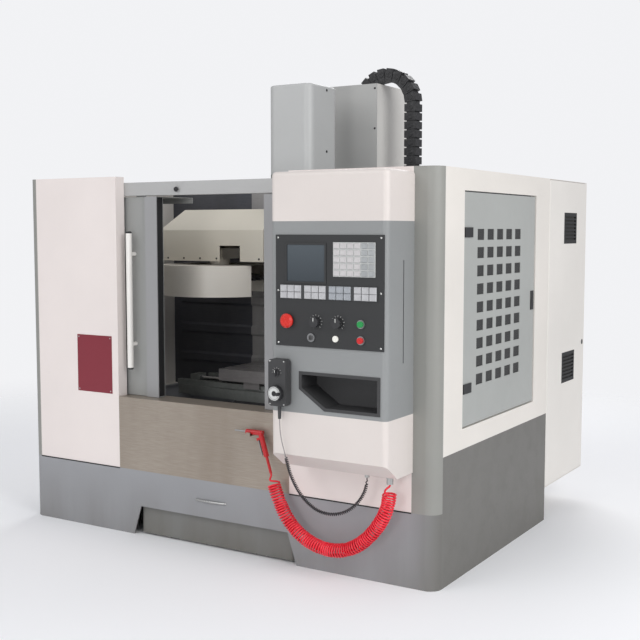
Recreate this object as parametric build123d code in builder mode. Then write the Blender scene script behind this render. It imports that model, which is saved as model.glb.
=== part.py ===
from build123d import *
import os
from math import cos, pi, radians, sin, tan

os.makedirs("parts", exist_ok=True)

# Enclosed vertical machining centre, in millimetres. X runs to the operator's right, Y to the rear, Z up.
# The origin is on the floor under the middle of the machine's outer box.

# Guard and base
guard_width = 2520
guard_height = 1900
guard_depth = 2060
sheet = 3
overrun = 20
fit_gap = 0.4
standing = (Align.CENTER, Align.CENTER, Align.MIN)
hanging = (Align.CENTER, Align.MAX)
run_gap = 2
base_depth = 1410
base_front_height = 349
base_side_height = 605
base_wall = 6
base_corner_radius = 60
base_flange = 45
notch_foot_width = 1034
notch_top_width = 932
notch_height = 157
pan_height = 430
post_depth = 62
post_width = 125
panel_return = 65
side_return = 30
left_panel_edge = 611
right_panel_edge = 477
apron_height = 735
apron_sill = 150

# Operator station on the right of the door opening
pod_projection = 250
pod_reach = 717
pod_width = 597
pod_top = 1880
pod_cap_foot = 1660
pod_body_foot = 803
pod_front_foot = 607
pod_bevel_depth = 100
pod_foot = 535
pod_edge_radius = 24
pod_cap_radius = 20
side_slot_width = 8
side_slot_foot = 1040
side_slot_top = 1490
side_slot_back = 100
panel_left_reach = 33
panel_right_reach = 582
panel_foot = 1104
panel_top = 1600
panel_thickness = 14
panel_proud = 5
screen_left_reach = 94
screen_right_reach = 289
screen_foot = 1394
screen_top = 1556
screen_thickness = 6
screen_bezel = 9
bezel_proud = 3
pad_left_reach = 334
pad_right_reach = 542
pad_foot = 1419
pad_top = 1568
strip_left_reach = 58
strip_right_reach = 553
strip_foot = 1317
strip_top = 1378
pad_thickness = 4
pocket_left_reach = 163
pocket_right_reach = 555
pocket_foot = 832
pocket_slope_height = 917
pocket_slope_right_reach = 290
pocket_top = 982
pocket_depth = 130
pocket_wall = 4
pocket_lip = 10

# Buttons and knobs on the control panel
upper_row = 1217
lower_row = 1147
stop_reach = 98
feed_reach = 244
rate_reach = 357
right_button_reach = 473
key_reach = 221
lamp_reach = 346
button_radius = 14
button_stand = 9
collar_radius = 19
collar_height = 6
mushroom_radius = 32
mushroom_height = 16
mushroom_stem_radius = 12
mushroom_gap = 9
knob_radius = 24
knob_height = 22
knob_stem_radius = 8
knob_flutes = 8
flute_radius = 5
key_barrel_radius = 13
key_blade = 20
key_blade_thickness = 4
stem_depth = 10

# Handwheel pendant hung on the station's front
pendant_reach = 67
pendant_foot = 833
pendant_top = 1045
pendant_width = 92
pendant_depth = 44
pendant_hook = 8
pendant_radius = 16
wheel_height = 24
wheel_radius = 36
wheel_z = 893
wheel_knob_height = 16
wheel_knob_radius = 8
selector_z = 985
selector_radius = 15
selector_height = 16
relief_radius = 9
relief_length = 60

front_stand = pod_projection + pendant_hook + pendant_depth + wheel_height + wheel_knob_height
front_y = -(guard_depth - front_stand) / 2
side_x = guard_width / 2
pod_left = side_x - pod_reach
pod_right = pod_left + pod_width
panel_left = pod_left + panel_left_reach
panel_right = pod_left + panel_right_reach
screen_left = pod_left + screen_left_reach
screen_right = pod_left + screen_right_reach
pad_left = pod_left + pad_left_reach
pad_right = pod_left + pad_right_reach
strip_left = pod_left + strip_left_reach
strip_right = pod_left + strip_right_reach
pocket_left = pod_left + pocket_left_reach
pocket_right = pod_left + pocket_right_reach
pocket_slope_right = pod_left + pocket_slope_right_reach
stop_x = pod_left + stop_reach
feed_x = pod_left + feed_reach
rate_x = pod_left + rate_reach
right_button_x = pod_left + right_button_reach
key_x = pod_left + key_reach
lamp_x = pod_left + lamp_reach
pendant_x = pod_left + pendant_reach
rear_y = front_y + guard_depth
base_rear_y = front_y + base_depth
base_mid_y = front_y + base_depth / 2
pod_y = front_y - pod_projection

# Bed, column and guideways
spindle_back = 870
rear_wall_back = 1260
column_back = 1420
bed_back = 220
bed_length = 1600
bed_width = 640
bed_foot_width = 860
bed_foot = 50
bed_flange = 60
bed_top = 600
bed_wall = 50
bed_bays = 3
port_width = 260
port_height = 180
trough_width = 180
trough_depth = 90
foot_radius = 55
foot_rows = 3
foot_screw_radius = 18
foot_pad_height = 22
foot_inset = 100
anchor_radius = 11
rail_width = 35
rail_height = 29
guide_height = 48
block_length = 110
block_width = 72
block_lift = 10
y_rail_spread = 460
x_rail_spread = 300
z_rail_spread = 340
screw_radius = 16
screw_drop = 25
bearing_length = 50
bearing_half = 45
nut_half = 36
nut_length = 120
seat_height = 90
seat_depth = 460
column_width = 460
column_foot_depth = 400
column_top_depth = 330
column_top = 2250
column_wall = 45
column_recess = 60
column_port_share = 0.25
port_pitch_share = 1.5
motor_size = 132
motor_flange = 12
motor_body_share = 0.88
motor_length = 165
motor_cap_share = 0.7
motor_chamfer_share = 0.2
motor_cap_length = 30
bracket_thickness = 20

spindle_y = front_y + spindle_back
rear_wall_y = front_y + rear_wall_back
column_y = front_y + column_back
bed_front_y = front_y + bed_back
bed_rear_y = bed_front_y + bed_length

# Saddle and table
x_stroke = 650
saddle_overlap = 16
saddle_width = 440
saddle_end_width = 340
saddle_middle = 560
saddle_thickness = 56
saddle_trough = 110
saddle_trough_depth = 32
y_block_spread = 320
table_length = 900
saddle_length = table_length + x_stroke + saddle_overlap
table_width = 400
table_thickness = 68
slot_count = 5
slot_pitch = 76
slot_width = 18
slot_depth = 30
slot_foot_width = 30
slot_foot_height = 13
x_block_spread = 460
x_screw_drop = 30
saddle_foot = bed_top + guide_height
saddle_top = saddle_foot + saddle_thickness
table_foot = saddle_top + guide_height
table_top = table_foot + table_thickness
y_screw_z = bed_top - screw_drop
x_screw_z = table_foot - x_screw_drop

# Head and spindle, at the top of the Z travel
nose_height = 1440
head_foot = 1600
head_top = 1930
head_width = 290
head_front = 145
head_radius = 60
carriage_width = 410
carriage_thickness = 50
carriage_foot = 1500
carriage_top = 1990
z_block_spread = 330
cartridge_radius = 85
cartridge_flange_radius = 108
cartridge_flange = 22
cartridge_nose_radius = 66
cartridge_cone = 60
shaft_radius = 44
shaft_flange_radius = 56
shaft_flange = 16
taper_mouth_radius = 22.2
taper_depth = 66
taper_rate_share = 0.1458
drawbar_radius = 9
drive_key_width = 16
drive_key_height = 7
drive_key_length = 18
cover_width = 280
cover_front = 141
cover_depth = 296
cover_top = 2420
cover_radius = 45
cover_crown = 12
spindle_motor_size = 208
spindle_motor_height = 380
fin_count = 9
fin_depth = 8
fin_fill_share = 0.5

# Column guard sheets and cable chain
column_guard_half = 266
column_guard_slot = 165
column_guard_depth = 395
column_guard_top = 2467
head_pass = 15
chain_leg_x = 132
chain_radius = 165
chain_height = 75
chain_width = 80
chain_back = 34
chain_pitch = 50
chain_side = 5
chain_core_share = 0.66
chain_link_share = 0.84
chain_centre_z = 2352
chain_bracket = 12

# Bellows
bellow_half = 158
bellow_depth = 42
bellow_skin = 5
z_fold_count = 16
y_fold_count = 7
y_bellow_half = 300
y_bellow_skin = 4
y_bellow_height = 20

# Tool magazine left of the spindle
magazine_x = -586
shroud_radius = 345
shroud_foot = 1239
shroud_height = 178
shroud_top = shroud_foot + shroud_height
shroud_mouth_angle = 44
hood_left = -900
hood_right = -160
hood_front = 161
hood_rear = 289
hood_lift = 23
hood_fold_rise = 180
hood_height = 300
hood_slope = 90
hood_hip = 110
hood_slot_width = 145
hood_slot_inset = 162
hood_slot_rise = 19
hub_height = 35
arm_thickness = 60
arm_right = 70
arm_front = 70
slide_left = -870
slide_right = -650
slide_depth = 110
slide_height = 128
bar_radius = 16
bar_low_rise = 34
bar_high_rise = 84
bar_back = 225
lug_thickness = 20
back_plate_thickness = 14
beam_size = 120
beam_x = -500
beam_drop = 100
beam_depth = 150
magazine_motor_radius = 62
magazine_motor_x = -760
magazine_motor_height = 170
hub_radius = 60
disc_radius = 262
disc_thickness = 26
disc_lift = 91
finger_count = 16
finger_length = 62
finger_width = 92
finger_jaw_radius = 30
finger_thickness = 14
hood_foot = shroud_top + hood_lift
hood_fold = hood_foot + hood_fold_rise
hood_top = hood_foot + hood_height
arm_top = shroud_top + hub_height + arm_thickness
hood_slot_top = arm_top + hood_slot_rise
slide_top = arm_top + slide_height
bar_z_low = arm_top + bar_low_rise
bar_z_high = arm_top + bar_high_rise
beam_z = hood_top - beam_drop
disc_height = shroud_foot + disc_lift

# Sliding doors
door_back = 80
door_depth = 40
door_width = 640
hanger_shares = (0.2, 0.8)
door_left_edge = -390
door_right_edge = 290
door_top = 1795
door_wrap = 290
door_lip = 30
stile_width = 92
stile_proud = 14
stile_chamfer = 12
window_left_margin = 70
window_width = 330
window_foot = 960
window_top = 1640
window_radius = 30
glass_thickness = 6
glass_lap = 16
handle_inset = 165
handle_radius = 16
handle_foot = 890
handle_top = 1603
standoff_low = 1015
standoff_high = 1494
standoff_radius = 11
handle_stand = 45
hanger_width = 60
hanger_neck = 10
hanger_head = 34
hanger_head_height = 24
header_back = 67
header_depth = 60
header_foot = 1801
header_top = 1870
header_wall = 4
header_slot = 16

# Side access door with vents
side_door_front = 275
side_door_rear = 1197
side_door_foot = 706
side_door_top = 1795
side_door_depth = 24
door_reveal = 6
vent_columns = 5
vent_rows = 9
vent_pitch_y = 120
vent_pitch_z = 86
vent_width = 80
vent_height = 52
vent_front = 473
vent_top = 1600
hinge_leaf_length = 90
hinge_leaf_height = 46
hinge_leaf_proud = 5
hinge_low = 883
hinge_high = 1610
pivot_radius = 5
pivot_inset_x = 11
pivot_inset_y = 11
pivot_depth = 30
pivot_block = 28
pivot_gap = 2
pivot_nose_radius = 9

# Electrical cabinet at the right rear
cabinet_left = 640
cabinet_foot = 183
cabinet_door_depth = 22
cabinet_rim = 40
cabinet_arm = 80
cabinet_arm_low = 900
cabinet_arm_high = 1500
cabinet_arm_back = 1560
grille_front = 1662
grille_width = 222
grille_height = 176
grille_low = 828
grille_high = 1631
grille_depth = 9
grille_frame = 16
grille_slats = 7
slat_fill_share = 0.5
plate_margin = 70
plate_thickness = 4
plate_stand = 30
drive_depth = 190
drive_height = 380
drive_count = 4
drive_width = 110
drive_gap = 16
drive_foot = 1100
breaker_height = 150
breaker_depth = 90
breaker_foot = 720

# Rear wall of the work area
rib_count = 5
rib_height = 70
rib_depth = 14
rib_foot = 760
rib_pitch = 190
rib_margin = 40
beam_clearance = 6
wall_notch_half = 345
wall_notch_top = 746

# Air line and pendant cord
gun_x = 327
gun_z = 636
gun_length = 120
gun_head_length = 70
gun_tail_radius = 7
gun_radius = 13
nozzle_radius = 4
nozzle_length = 70
lever_length = 82
lever_width = 12
lever_thickness = 4
lever_stand = 5
lever_pin_radius = 3
hook_width = 22
hook_length = 48
hook_thickness = 5
hose_radius = 34
coupler_radius = 15
coupler_length = 40
coupler_reach = 535
curl_radius = 9
lead_radius = 3.5
bend_share = 0.45
gland_radius = 11
gland_length = 22
gland_reach = 419
cord_stand = 100
lead_turn = 706
lead_sway = 26
lead_swing = 9
lead_foot = 602
curl_shares = (0.07362, 0.20859, 0.40491, 0.62577, 0.80368, 0.93252, 1)
curl_stands = (-162.6923, -139, -108, -74, -44, -16, 0)
curl_levels = (506, 414, 350, 337, 360, 410, 470)
tail_reach = 85
tail_stand = 39
tail_foot = 455
hose_shares = (0.08934, 0.22523, 0.3964, 0.58258, 0.74474, 0.87387, 0.96697, 1)
hose_stands = (13.1, 4, 0, -1, -1, -0.5, 0, 0)
hose_levels = (328.3, 214, 153, 142, 180, 258, 352, 440)


def save(builder, name):
    """Label a finished piece and write its STEP file."""
    builder.part.label = name
    export_step(builder.part, f"parts/{name}.step")


def block(x, y, z, mode=Mode.ADD):
    """Add or cut the box that lies between two planes on each axis."""
    middle = tuple((low + high) / 2 for low, high in (x, y, z))
    with Locations(middle):
        Box(x[1] - x[0], y[1] - y[0], z[1] - z[0], mode=mode)


def at_x(x):
    """Sketch plane across the machine: local axes are Y and Z, extrusion runs along +X."""
    return Plane.YZ.offset(x)


def at_y(y):
    """Sketch plane facing the operator: local axes are X and Z, extrusion runs along -Y."""
    return Plane.XZ.offset(-y)


def upright(x, y, z):
    """Sketch plane on a level face: local origin at that point, extrusion runs up."""
    return Plane((x, y, z))


def facing_operator(x, y, z):
    """Sketch plane at a point of a face turned to the operator, extrusion runs along -Y."""
    return Plane((x, y, z), x_dir=(1, 0, 0), z_dir=(0, -1, 0))


def post(plane, radius, length, mode=Mode.ADD):
    """Add or cut a round bar that stands on a plane."""
    with BuildSketch(plane) as disc:
        Circle(radius)
    extrude(disc.sketch, amount=length, mode=mode)


# Base plinth: folded walls, higher at the sides, with a chip pan and a fork-lift notch
with BuildPart() as base_plinth:
    with BuildSketch() as plinth_plan:
        with Locations((0, base_mid_y)):
            Rectangle(guard_width, base_depth)
        fillet(plinth_plan.vertices().group_by(Axis.Y)[0], radius=base_corner_radius)
        offset(amount=-base_wall, mode=Mode.SUBTRACT)
    extrude(amount=base_side_height)
    inner_x = side_x - base_wall
    front_inner_y = front_y + base_wall
    rear_inner_y = base_rear_y - base_wall
    front_cut = (front_y - overrun, front_y + post_depth)
    step_z = (base_front_height, base_side_height + overrun)
    block((-side_x - overrun, side_x + overrun), front_cut, step_z, Mode.SUBTRACT)
    bed_pass = bed_foot_width / 2 + overrun
    rear_cut = (rear_inner_y - overrun, base_rear_y + overrun)
    block((-bed_pass, bed_pass), rear_cut, (0, base_side_height), Mode.SUBTRACT)
    with BuildSketch(at_y(front_y)):
        with BuildLine():
            Polyline(
                (-notch_foot_width / 2, 0),
                (-notch_top_width / 2, notch_height),
                (notch_top_width / 2, notch_height),
                (notch_foot_width / 2, 0),
                close=True,
            )
        make_face()
    extrude(amount=-base_wall - overrun, mode=Mode.SUBTRACT)
    front_half = side_x - base_corner_radius
    shelf_z = (base_front_height - base_wall, base_front_height)
    block((-front_half, front_half), (front_y, front_inner_y + base_flange), shelf_z)
    for turn in (-1, 1):
        flange_x = sorted((turn * side_x, turn * (inner_x - base_flange)))
        flange_z = (base_side_height - base_wall, base_side_height)
        block(flange_x, (front_y + post_depth, base_rear_y), flange_z)
    pan_z = (pan_height - sheet, pan_height)
    pan_bed = bed_width / 2 + fit_gap
    block((pan_bed, inner_x), (bed_front_y, rear_inner_y), pan_z)
    block((-inner_x, -pan_bed), (bed_front_y, rear_inner_y), pan_z)
    block((-front_half, front_half), (front_y + panel_return, bed_front_y - fit_gap), pan_z)
    for turn in (-1, 1):
        pan_x = sorted((turn * pan_bed, turn * front_half))
        block(pan_x, (bed_front_y - overrun, bed_front_y + overrun), pan_z)
save(base_plinth, "base_plinth")

# Coolant tank behind the notch, on two skids
tank_half = notch_top_width / 2 + overrun
tank_rim = 12
tank_skid = 10
tank_skid_width = 60
tank_radius = 20
tank_y = (front_inner_y + overrun, bed_front_y - 2 * overrun)
tank_top = base_front_height - 2 * overrun
with BuildPart() as coolant_tank:
    block((-tank_half, tank_half), tank_y, (tank_skid, tank_top))
    fillet(coolant_tank.edges().filter_by(Axis.Z), radius=tank_radius)
    rim_half = tank_half + tank_rim
    block((-rim_half, rim_half), (tank_y[0] - tank_rim, tank_y[1] + tank_rim), (tank_top - sheet, tank_top))
    for turn in (-1, 1):
        skid_x = sorted((turn * tank_half / 2, turn * (tank_half / 2 + tank_skid_width)))
        block(skid_x, (tank_y[0] + tank_radius, tank_y[1] - tank_radius), (0, tank_skid))
save(coolant_tank, "coolant_tank")

# Bed: hollow casting on levelling feet, with a foot flange, screw trough, column seat and Y rails
bed_half = bed_width / 2
foot_half = bed_foot_width / 2
y_rail_rear = column_y - overrun
y_screw_y = (bed_front_y, column_y - overrun)
with BuildPart() as bed_casting:
    with BuildSketch(at_y(bed_front_y)):
        with BuildLine():
            Polyline(
                (0, bed_foot),
                (foot_half, bed_foot),
                (foot_half, bed_foot + bed_flange),
                (bed_half, bed_foot + 2 * bed_flange),
                (bed_half, bed_top),
                (0, bed_top),
            )
            mirror(about=Plane.YZ)
        make_face()
    extrude(amount=-bed_length)
    bay_length = (bed_length - (bed_bays + 1) * bed_wall) / bed_bays
    bay_half = bed_half - bed_wall
    for bay in range(bed_bays):
        bay_y = bed_front_y + bed_wall + bay * (bay_length + bed_wall)
        bay_top = bed_top - trough_depth - bed_wall
        block((-bay_half, bay_half), (bay_y, bay_y + bay_length), (bed_foot, bay_top), Mode.SUBTRACT)
        with BuildSketch(at_x(-bed_half - overrun)):
            with Locations((bay_y + bay_length / 2, (bed_foot + 2 * bed_flange + bay_top) / 2)):
                SlotOverall(port_width, port_height)
        extrude(amount=bed_width + 2 * overrun, mode=Mode.SUBTRACT)
    trough_half = trough_width / 2
    trough_y = (bed_front_y + bearing_length, column_y)
    block((-trough_half, trough_half), trough_y, (bed_top - trough_depth, bed_top), Mode.SUBTRACT)
    seat_y = (column_y - overrun, column_y - overrun + seat_depth)
    block((-column_width / 2, column_width / 2), (column_y, seat_y[1]), (bed_top, bed_top + seat_height))
    for turn in (-1, 1):
        rail_x = turn * y_rail_spread / 2
        rail_span = (rail_x - rail_width / 2, rail_x + rail_width / 2)
        block(rail_span, (bed_front_y + overrun, y_rail_rear), (bed_top, bed_top + rail_height))
    with BuildSketch(at_y(bed_front_y)):
        with Locations((0, y_screw_z)):
            Circle(screw_radius + fit_gap)
    extrude(amount=-bed_length / 2, mode=Mode.SUBTRACT)
    foot_y = (bed_front_y + foot_inset, bed_rear_y - foot_inset)
    anchor_y_spread = foot_y[1] - foot_y[0] - 2 * foot_inset
    anchor_x_spread = bed_foot_width - bed_flange
    with Locations((0, (foot_y[0] + foot_y[1]) / 2, bed_foot + 2 * bed_flange)):
        with GridLocations(anchor_x_spread, anchor_y_spread, 2, 2):
            Hole(anchor_radius, depth=2 * bed_flange)
    foot_spread = (foot_y[1] - foot_y[0]) / 2
    with Locations((0, (foot_y[0] + foot_y[1]) / 2)):
        with GridLocations(anchor_x_spread, foot_spread, 2, foot_rows):
            Cone(foot_radius, foot_screw_radius, foot_pad_height, align=standing)
            Cylinder(foot_screw_radius, bed_foot, align=standing)
save(bed_casting, "bed_casting")

# Column: hollow casting that leans in towards the top, with a screw recess and Z rails in front
column_half = column_width / 2
column_foot = bed_top + seat_height
z_screw_y = column_y - screw_drop
with BuildPart() as column_casting:
    with BuildSketch(at_x(-column_half)):
        with BuildLine():
            Polyline(
                (column_y, column_foot),
                (column_y + column_foot_depth, column_foot),
                (column_y + column_top_depth, column_top),
                (column_y, column_top),
                close=True,
            )
        make_face()
    extrude(amount=column_width)
    with BuildSketch(at_x(-column_half + column_wall)):
        with BuildLine():
            Polyline(
                (column_y + column_recess + column_wall, column_foot),
                (column_y + column_foot_depth - column_wall, column_foot),
                (column_y + column_top_depth - column_wall, column_top),
                (column_y + column_recess + column_wall, column_top),
                close=True,
            )
        make_face()
    extrude(amount=column_width - 2 * column_wall, mode=Mode.SUBTRACT)
    recess_half = z_rail_spread / 2 - rail_width
    recess_y = (column_y, column_y + column_recess)
    block((-recess_half, recess_half), recess_y, (column_foot, column_top), Mode.SUBTRACT)
    column_port = (column_top - column_foot) * column_port_share
    with BuildSketch(at_y(column_y + column_foot_depth + overrun)):
        with Locations((0, (column_foot + column_top) / 2)):
            with GridLocations(0, column_port * port_pitch_share, 1, 2):
                SlotOverall(column_port, column_width / 2, rotation=90)
    extrude(amount=column_foot_depth / 2, mode=Mode.SUBTRACT)
    for turn in (-1, 1):
        rail_x = turn * z_rail_spread / 2
        rail_span = (rail_x - rail_width / 2, rail_x + rail_width / 2)
        block(rail_span, (column_y - rail_height, column_y), (column_foot + overrun, column_top - overrun))
    low_bearing = (column_foot + overrun, column_foot + overrun + bearing_length)
    bearing_y = (z_screw_y - bearing_half, column_y + column_recess)
    block((-bearing_half, bearing_half), bearing_y, low_bearing)
    with Locations((0, z_screw_y, low_bearing[1])):
        Hole(screw_radius + fit_gap, depth=bearing_length)
save(column_casting, "column_casting")

# Y and Z servo motors: square flange, octagonal body and round rear cap, the Z one on a top bracket
motor_half = motor_size / 2
z_bracket_top = column_top + bracket_thickness


def servo_motor(seat):
    """Add a servo motor whose flange lies on the given plane."""
    with BuildSketch(seat) as flange_plan:
        Rectangle(motor_size, motor_size)
    extrude(flange_plan.sketch, amount=motor_flange)
    body_size = motor_size * motor_body_share
    with BuildSketch(seat.offset(motor_flange)) as body_plan:
        Rectangle(body_size, body_size)
        chamfer(body_plan.vertices(), length=body_size * motor_chamfer_share)
    extrude(body_plan.sketch, amount=motor_length - motor_flange)
    with BuildSketch(seat.offset(motor_length)) as cap_plan:
        Circle(body_size * motor_cap_share / 2)
    extrude(cap_plan.sketch, amount=motor_cap_length)


with BuildPart() as axis_motors:
    servo_motor(facing_operator(0, bed_front_y, y_screw_z))
    servo_motor(upright(0, z_screw_y, z_bracket_top))
    bracket_y = (z_screw_y - motor_half, column_y + column_top_depth)
    block((-motor_half, motor_half), bracket_y, (column_top, z_bracket_top))
    with Locations((0, z_screw_y, z_bracket_top)):
        Hole(screw_radius + fit_gap, depth=bracket_thickness)
save(axis_motors, "axis_motors")

# Ball screws, each a ground shaft from its motor to its far bearing
with BuildPart() as y_screw:
    with BuildSketch(at_y(y_screw_y[0])):
        with Locations((0, y_screw_z)):
            Circle(screw_radius)
    extrude(amount=y_screw_y[0] - y_screw_y[1])
save(y_screw, "y_screw")

with BuildPart() as z_screw:
    with BuildSketch(upright(0, z_screw_y, low_bearing[0])):
        Circle(screw_radius)
    extrude(amount=z_bracket_top - low_bearing[0])
save(z_screw, "z_screw")

# Saddle: tapered casting with Y guide blocks and nut below, X rails, trough and bearings above
saddle_half = saddle_length / 2


def guide_blocks(spread_x, spread_y, base_z, along_y):
    """Add four guide blocks over a pair of rails whose foot is at base_z, centred on the spindle."""
    size = (block_width, block_length) if along_y else (block_length, block_width)
    slot = (rail_width + 2 * fit_gap, block_length) if along_y else (block_length, rail_width + 2 * fit_gap)
    with Locations((0, spindle_y, base_z)):
        with GridLocations(spread_x, spread_y, 2, 2):
            with Locations((0, 0, block_lift)):
                Box(*size, guide_height - block_lift, align=standing)
            Box(*slot, rail_height + fit_gap, align=standing, mode=Mode.SUBTRACT)


with BuildPart() as saddle:
    with BuildSketch(upright(0, spindle_y, saddle_foot)):
        with BuildLine():
            Polyline(
                (0, saddle_width / 2),
                (saddle_middle / 2, saddle_width / 2),
                (saddle_half, saddle_end_width / 2),
                (saddle_half, 0),
            )
            mirror(about=Plane.YZ)
            mirror(about=Plane.XZ)
        make_face()
    extrude(amount=saddle_thickness)
    fillet(saddle.edges().filter_by(Axis.Z), radius=overrun)
    trough_y = (spindle_y - saddle_trough / 2, spindle_y + saddle_trough / 2)
    trough_x = saddle_half - bearing_length
    block((-trough_x, trough_x), trough_y, (saddle_top - saddle_trough_depth, saddle_top), Mode.SUBTRACT)
    for turn in (-1, 1):
        rail_y = spindle_y + turn * x_rail_spread / 2
        rail_span = (rail_y - rail_width / 2, rail_y + rail_width / 2)
        block((-saddle_half, saddle_half), rail_span, (saddle_top, saddle_top + rail_height))
        end_x = sorted((turn * saddle_half, turn * trough_x))
        bearing_y = (spindle_y - bearing_half, spindle_y + bearing_half)
        block(end_x, bearing_y, (saddle_top, x_screw_z + screw_radius + block_lift))
    with BuildSketch(at_x(-saddle_half)):
        with Locations((spindle_y, x_screw_z)):
            Circle(screw_radius + fit_gap)
    extrude(amount=saddle_length, mode=Mode.SUBTRACT)
    guide_blocks(y_rail_spread, y_block_spread, bed_top, True)
    nut_y = (spindle_y - nut_length / 2, spindle_y + nut_length / 2)
    block((-nut_half, nut_half), nut_y, (y_screw_z - nut_half, saddle_foot))
    with BuildSketch(at_y(nut_y[0])):
        with Locations((0, y_screw_z)):
            Circle(screw_radius + fit_gap)
    extrude(amount=-nut_length, mode=Mode.SUBTRACT)
save(saddle, "saddle")

with BuildPart() as x_motor:
    servo_motor(Plane((saddle_half, spindle_y, x_screw_z), x_dir=(0, 1, 0), z_dir=(1, 0, 0)))
save(x_motor, "x_motor")

with BuildPart() as x_screw:
    with BuildSketch(at_x(-saddle_half)):
        with Locations((spindle_y, x_screw_z)):
            Circle(screw_radius)
    extrude(amount=saddle_length)
save(x_screw, "x_screw")

# Table: T-slotted plate with X guide blocks and nut below
table_half = table_length / 2
with BuildPart() as table:
    with BuildSketch(at_x(-table_half)) as table_end:
        with Locations((spindle_y, (table_foot + table_top) / 2)):
            Rectangle(table_width, table_thickness)
        with Locations((spindle_y, table_top)):
            with GridLocations(slot_pitch, 0, slot_count, 1):
                Rectangle(slot_width, slot_depth, align=hanging, mode=Mode.SUBTRACT)
                with Locations((0, slot_foot_height - slot_depth)):
                    Rectangle(slot_foot_width, slot_foot_height, align=hanging, mode=Mode.SUBTRACT)
    extrude(amount=table_length)
    guide_blocks(x_block_spread, x_rail_spread, saddle_top, False)
    nut_y = (spindle_y - nut_half, spindle_y + nut_half)
    nut_z = (saddle_top - saddle_trough_depth + run_gap, table_foot)
    block((-nut_length / 2, nut_length / 2), nut_y, nut_z)
    with BuildSketch(at_x(-nut_length / 2)):
        with Locations((spindle_y, x_screw_z)):
            Circle(screw_radius + fit_gap)
    extrude(amount=nut_length, mode=Mode.SUBTRACT)
save(table, "table")

# Head casting: neck with a rounded front, carriage plate, Z guide blocks, nut and spindle bore
head_half = head_width / 2
carriage_half = carriage_width / 2
carriage_rear_y = column_y - guide_height
carriage_front_y = carriage_rear_y - carriage_thickness
with BuildPart() as head_casting:
    block((-head_half, head_half), (spindle_y - head_front, carriage_rear_y), (head_foot, head_top))
    front_edges = head_casting.edges().filter_by(Axis.Z).group_by(Axis.Y)[0]
    fillet(front_edges, radius=head_radius)
    carriage_z = (carriage_foot, carriage_top)
    block((-carriage_half, carriage_half), (carriage_front_y, carriage_rear_y), carriage_z)
    with BuildSketch(at_x(-head_half)):
        with BuildLine():
            Polyline(
                (carriage_front_y, carriage_foot),
                (carriage_front_y, head_foot),
                (carriage_front_y - 2 * (head_foot - carriage_foot), head_foot),
                close=True,
            )
        make_face()
    extrude(amount=head_width)
    for turn in (-1, 1):
        for level in (-1, 1):
            block_x = turn * z_rail_spread / 2
            block_z = (carriage_foot + carriage_top) / 2 + level * z_block_spread / 2
            span_x = (block_x - block_width / 2, block_x + block_width / 2)
            span_z = (block_z - block_length / 2, block_z + block_length / 2)
            block(span_x, (carriage_rear_y, column_y - block_lift), span_z)
            slot_x = (block_x - rail_width / 2 - fit_gap, block_x + rail_width / 2 + fit_gap)
            block(slot_x, (column_y - rail_height - fit_gap, column_y), span_z, Mode.SUBTRACT)
    nut_z = (carriage_foot + carriage_top - nut_length) / 2
    block((-nut_half, nut_half), (carriage_rear_y, z_screw_y + nut_half), (nut_z, nut_z + nut_length))
    with Locations((0, z_screw_y, carriage_top)):
        Hole(screw_radius + fit_gap, depth=carriage_top - carriage_foot)
    with Locations((0, spindle_y, head_top)):
        Hole(cartridge_radius + fit_gap, depth=head_top - head_foot)
save(head_casting, "head_casting")

# Spindle cartridge: stepped sleeve with a mounting flange under the head and a conical nose
nose_z = nose_height + shaft_flange + run_gap
flange_z = head_foot - cartridge_flange
with BuildPart() as spindle_cartridge:
    with BuildSketch(Plane.XZ.offset(-spindle_y)):
        with BuildLine():
            Polyline(
                (shaft_radius + fit_gap, nose_z),
                (cartridge_nose_radius, nose_z),
                (cartridge_radius, nose_z + cartridge_cone),
                (cartridge_radius, flange_z),
                (cartridge_flange_radius, flange_z),
                (cartridge_flange_radius, head_foot),
                (cartridge_radius, head_foot),
                (cartridge_radius, head_top),
                (shaft_radius + fit_gap, head_top),
                close=True,
            )
        make_face()
    revolve(axis=Axis((0, spindle_y, 0), (0, 0, 1)))
save(spindle_cartridge, "spindle_cartridge")

# Spindle shaft: nose flange, 7/24 tool taper, drawbar bore and two drive keys
taper_end_radius = taper_mouth_radius - taper_depth * taper_rate_share
with BuildPart() as spindle_shaft:
    with BuildSketch(Plane.XZ.offset(-spindle_y)):
        with BuildLine():
            Polyline(
                (taper_mouth_radius, nose_height),
                (shaft_flange_radius, nose_height),
                (shaft_flange_radius, nose_height + shaft_flange),
                (shaft_radius, nose_height + shaft_flange),
                (shaft_radius, head_top - run_gap),
                (drawbar_radius, head_top - run_gap),
                (drawbar_radius, nose_height + taper_depth),
                (taper_end_radius, nose_height + taper_depth),
                close=True,
            )
        make_face()
    revolve(axis=Axis((0, spindle_y, 0), (0, 0, 1)))
    for turn in (-1, 1):
        key_middle = turn * (taper_mouth_radius + shaft_flange_radius) / 2
        key_x_span = (key_middle - drive_key_length / 2, key_middle + drive_key_length / 2)
        key_y_span = (spindle_y - drive_key_width / 2, spindle_y + drive_key_width / 2)
        block(key_x_span, key_y_span, (nose_height - drive_key_height, nose_height))
save(spindle_shaft, "spindle_shaft")

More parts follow.
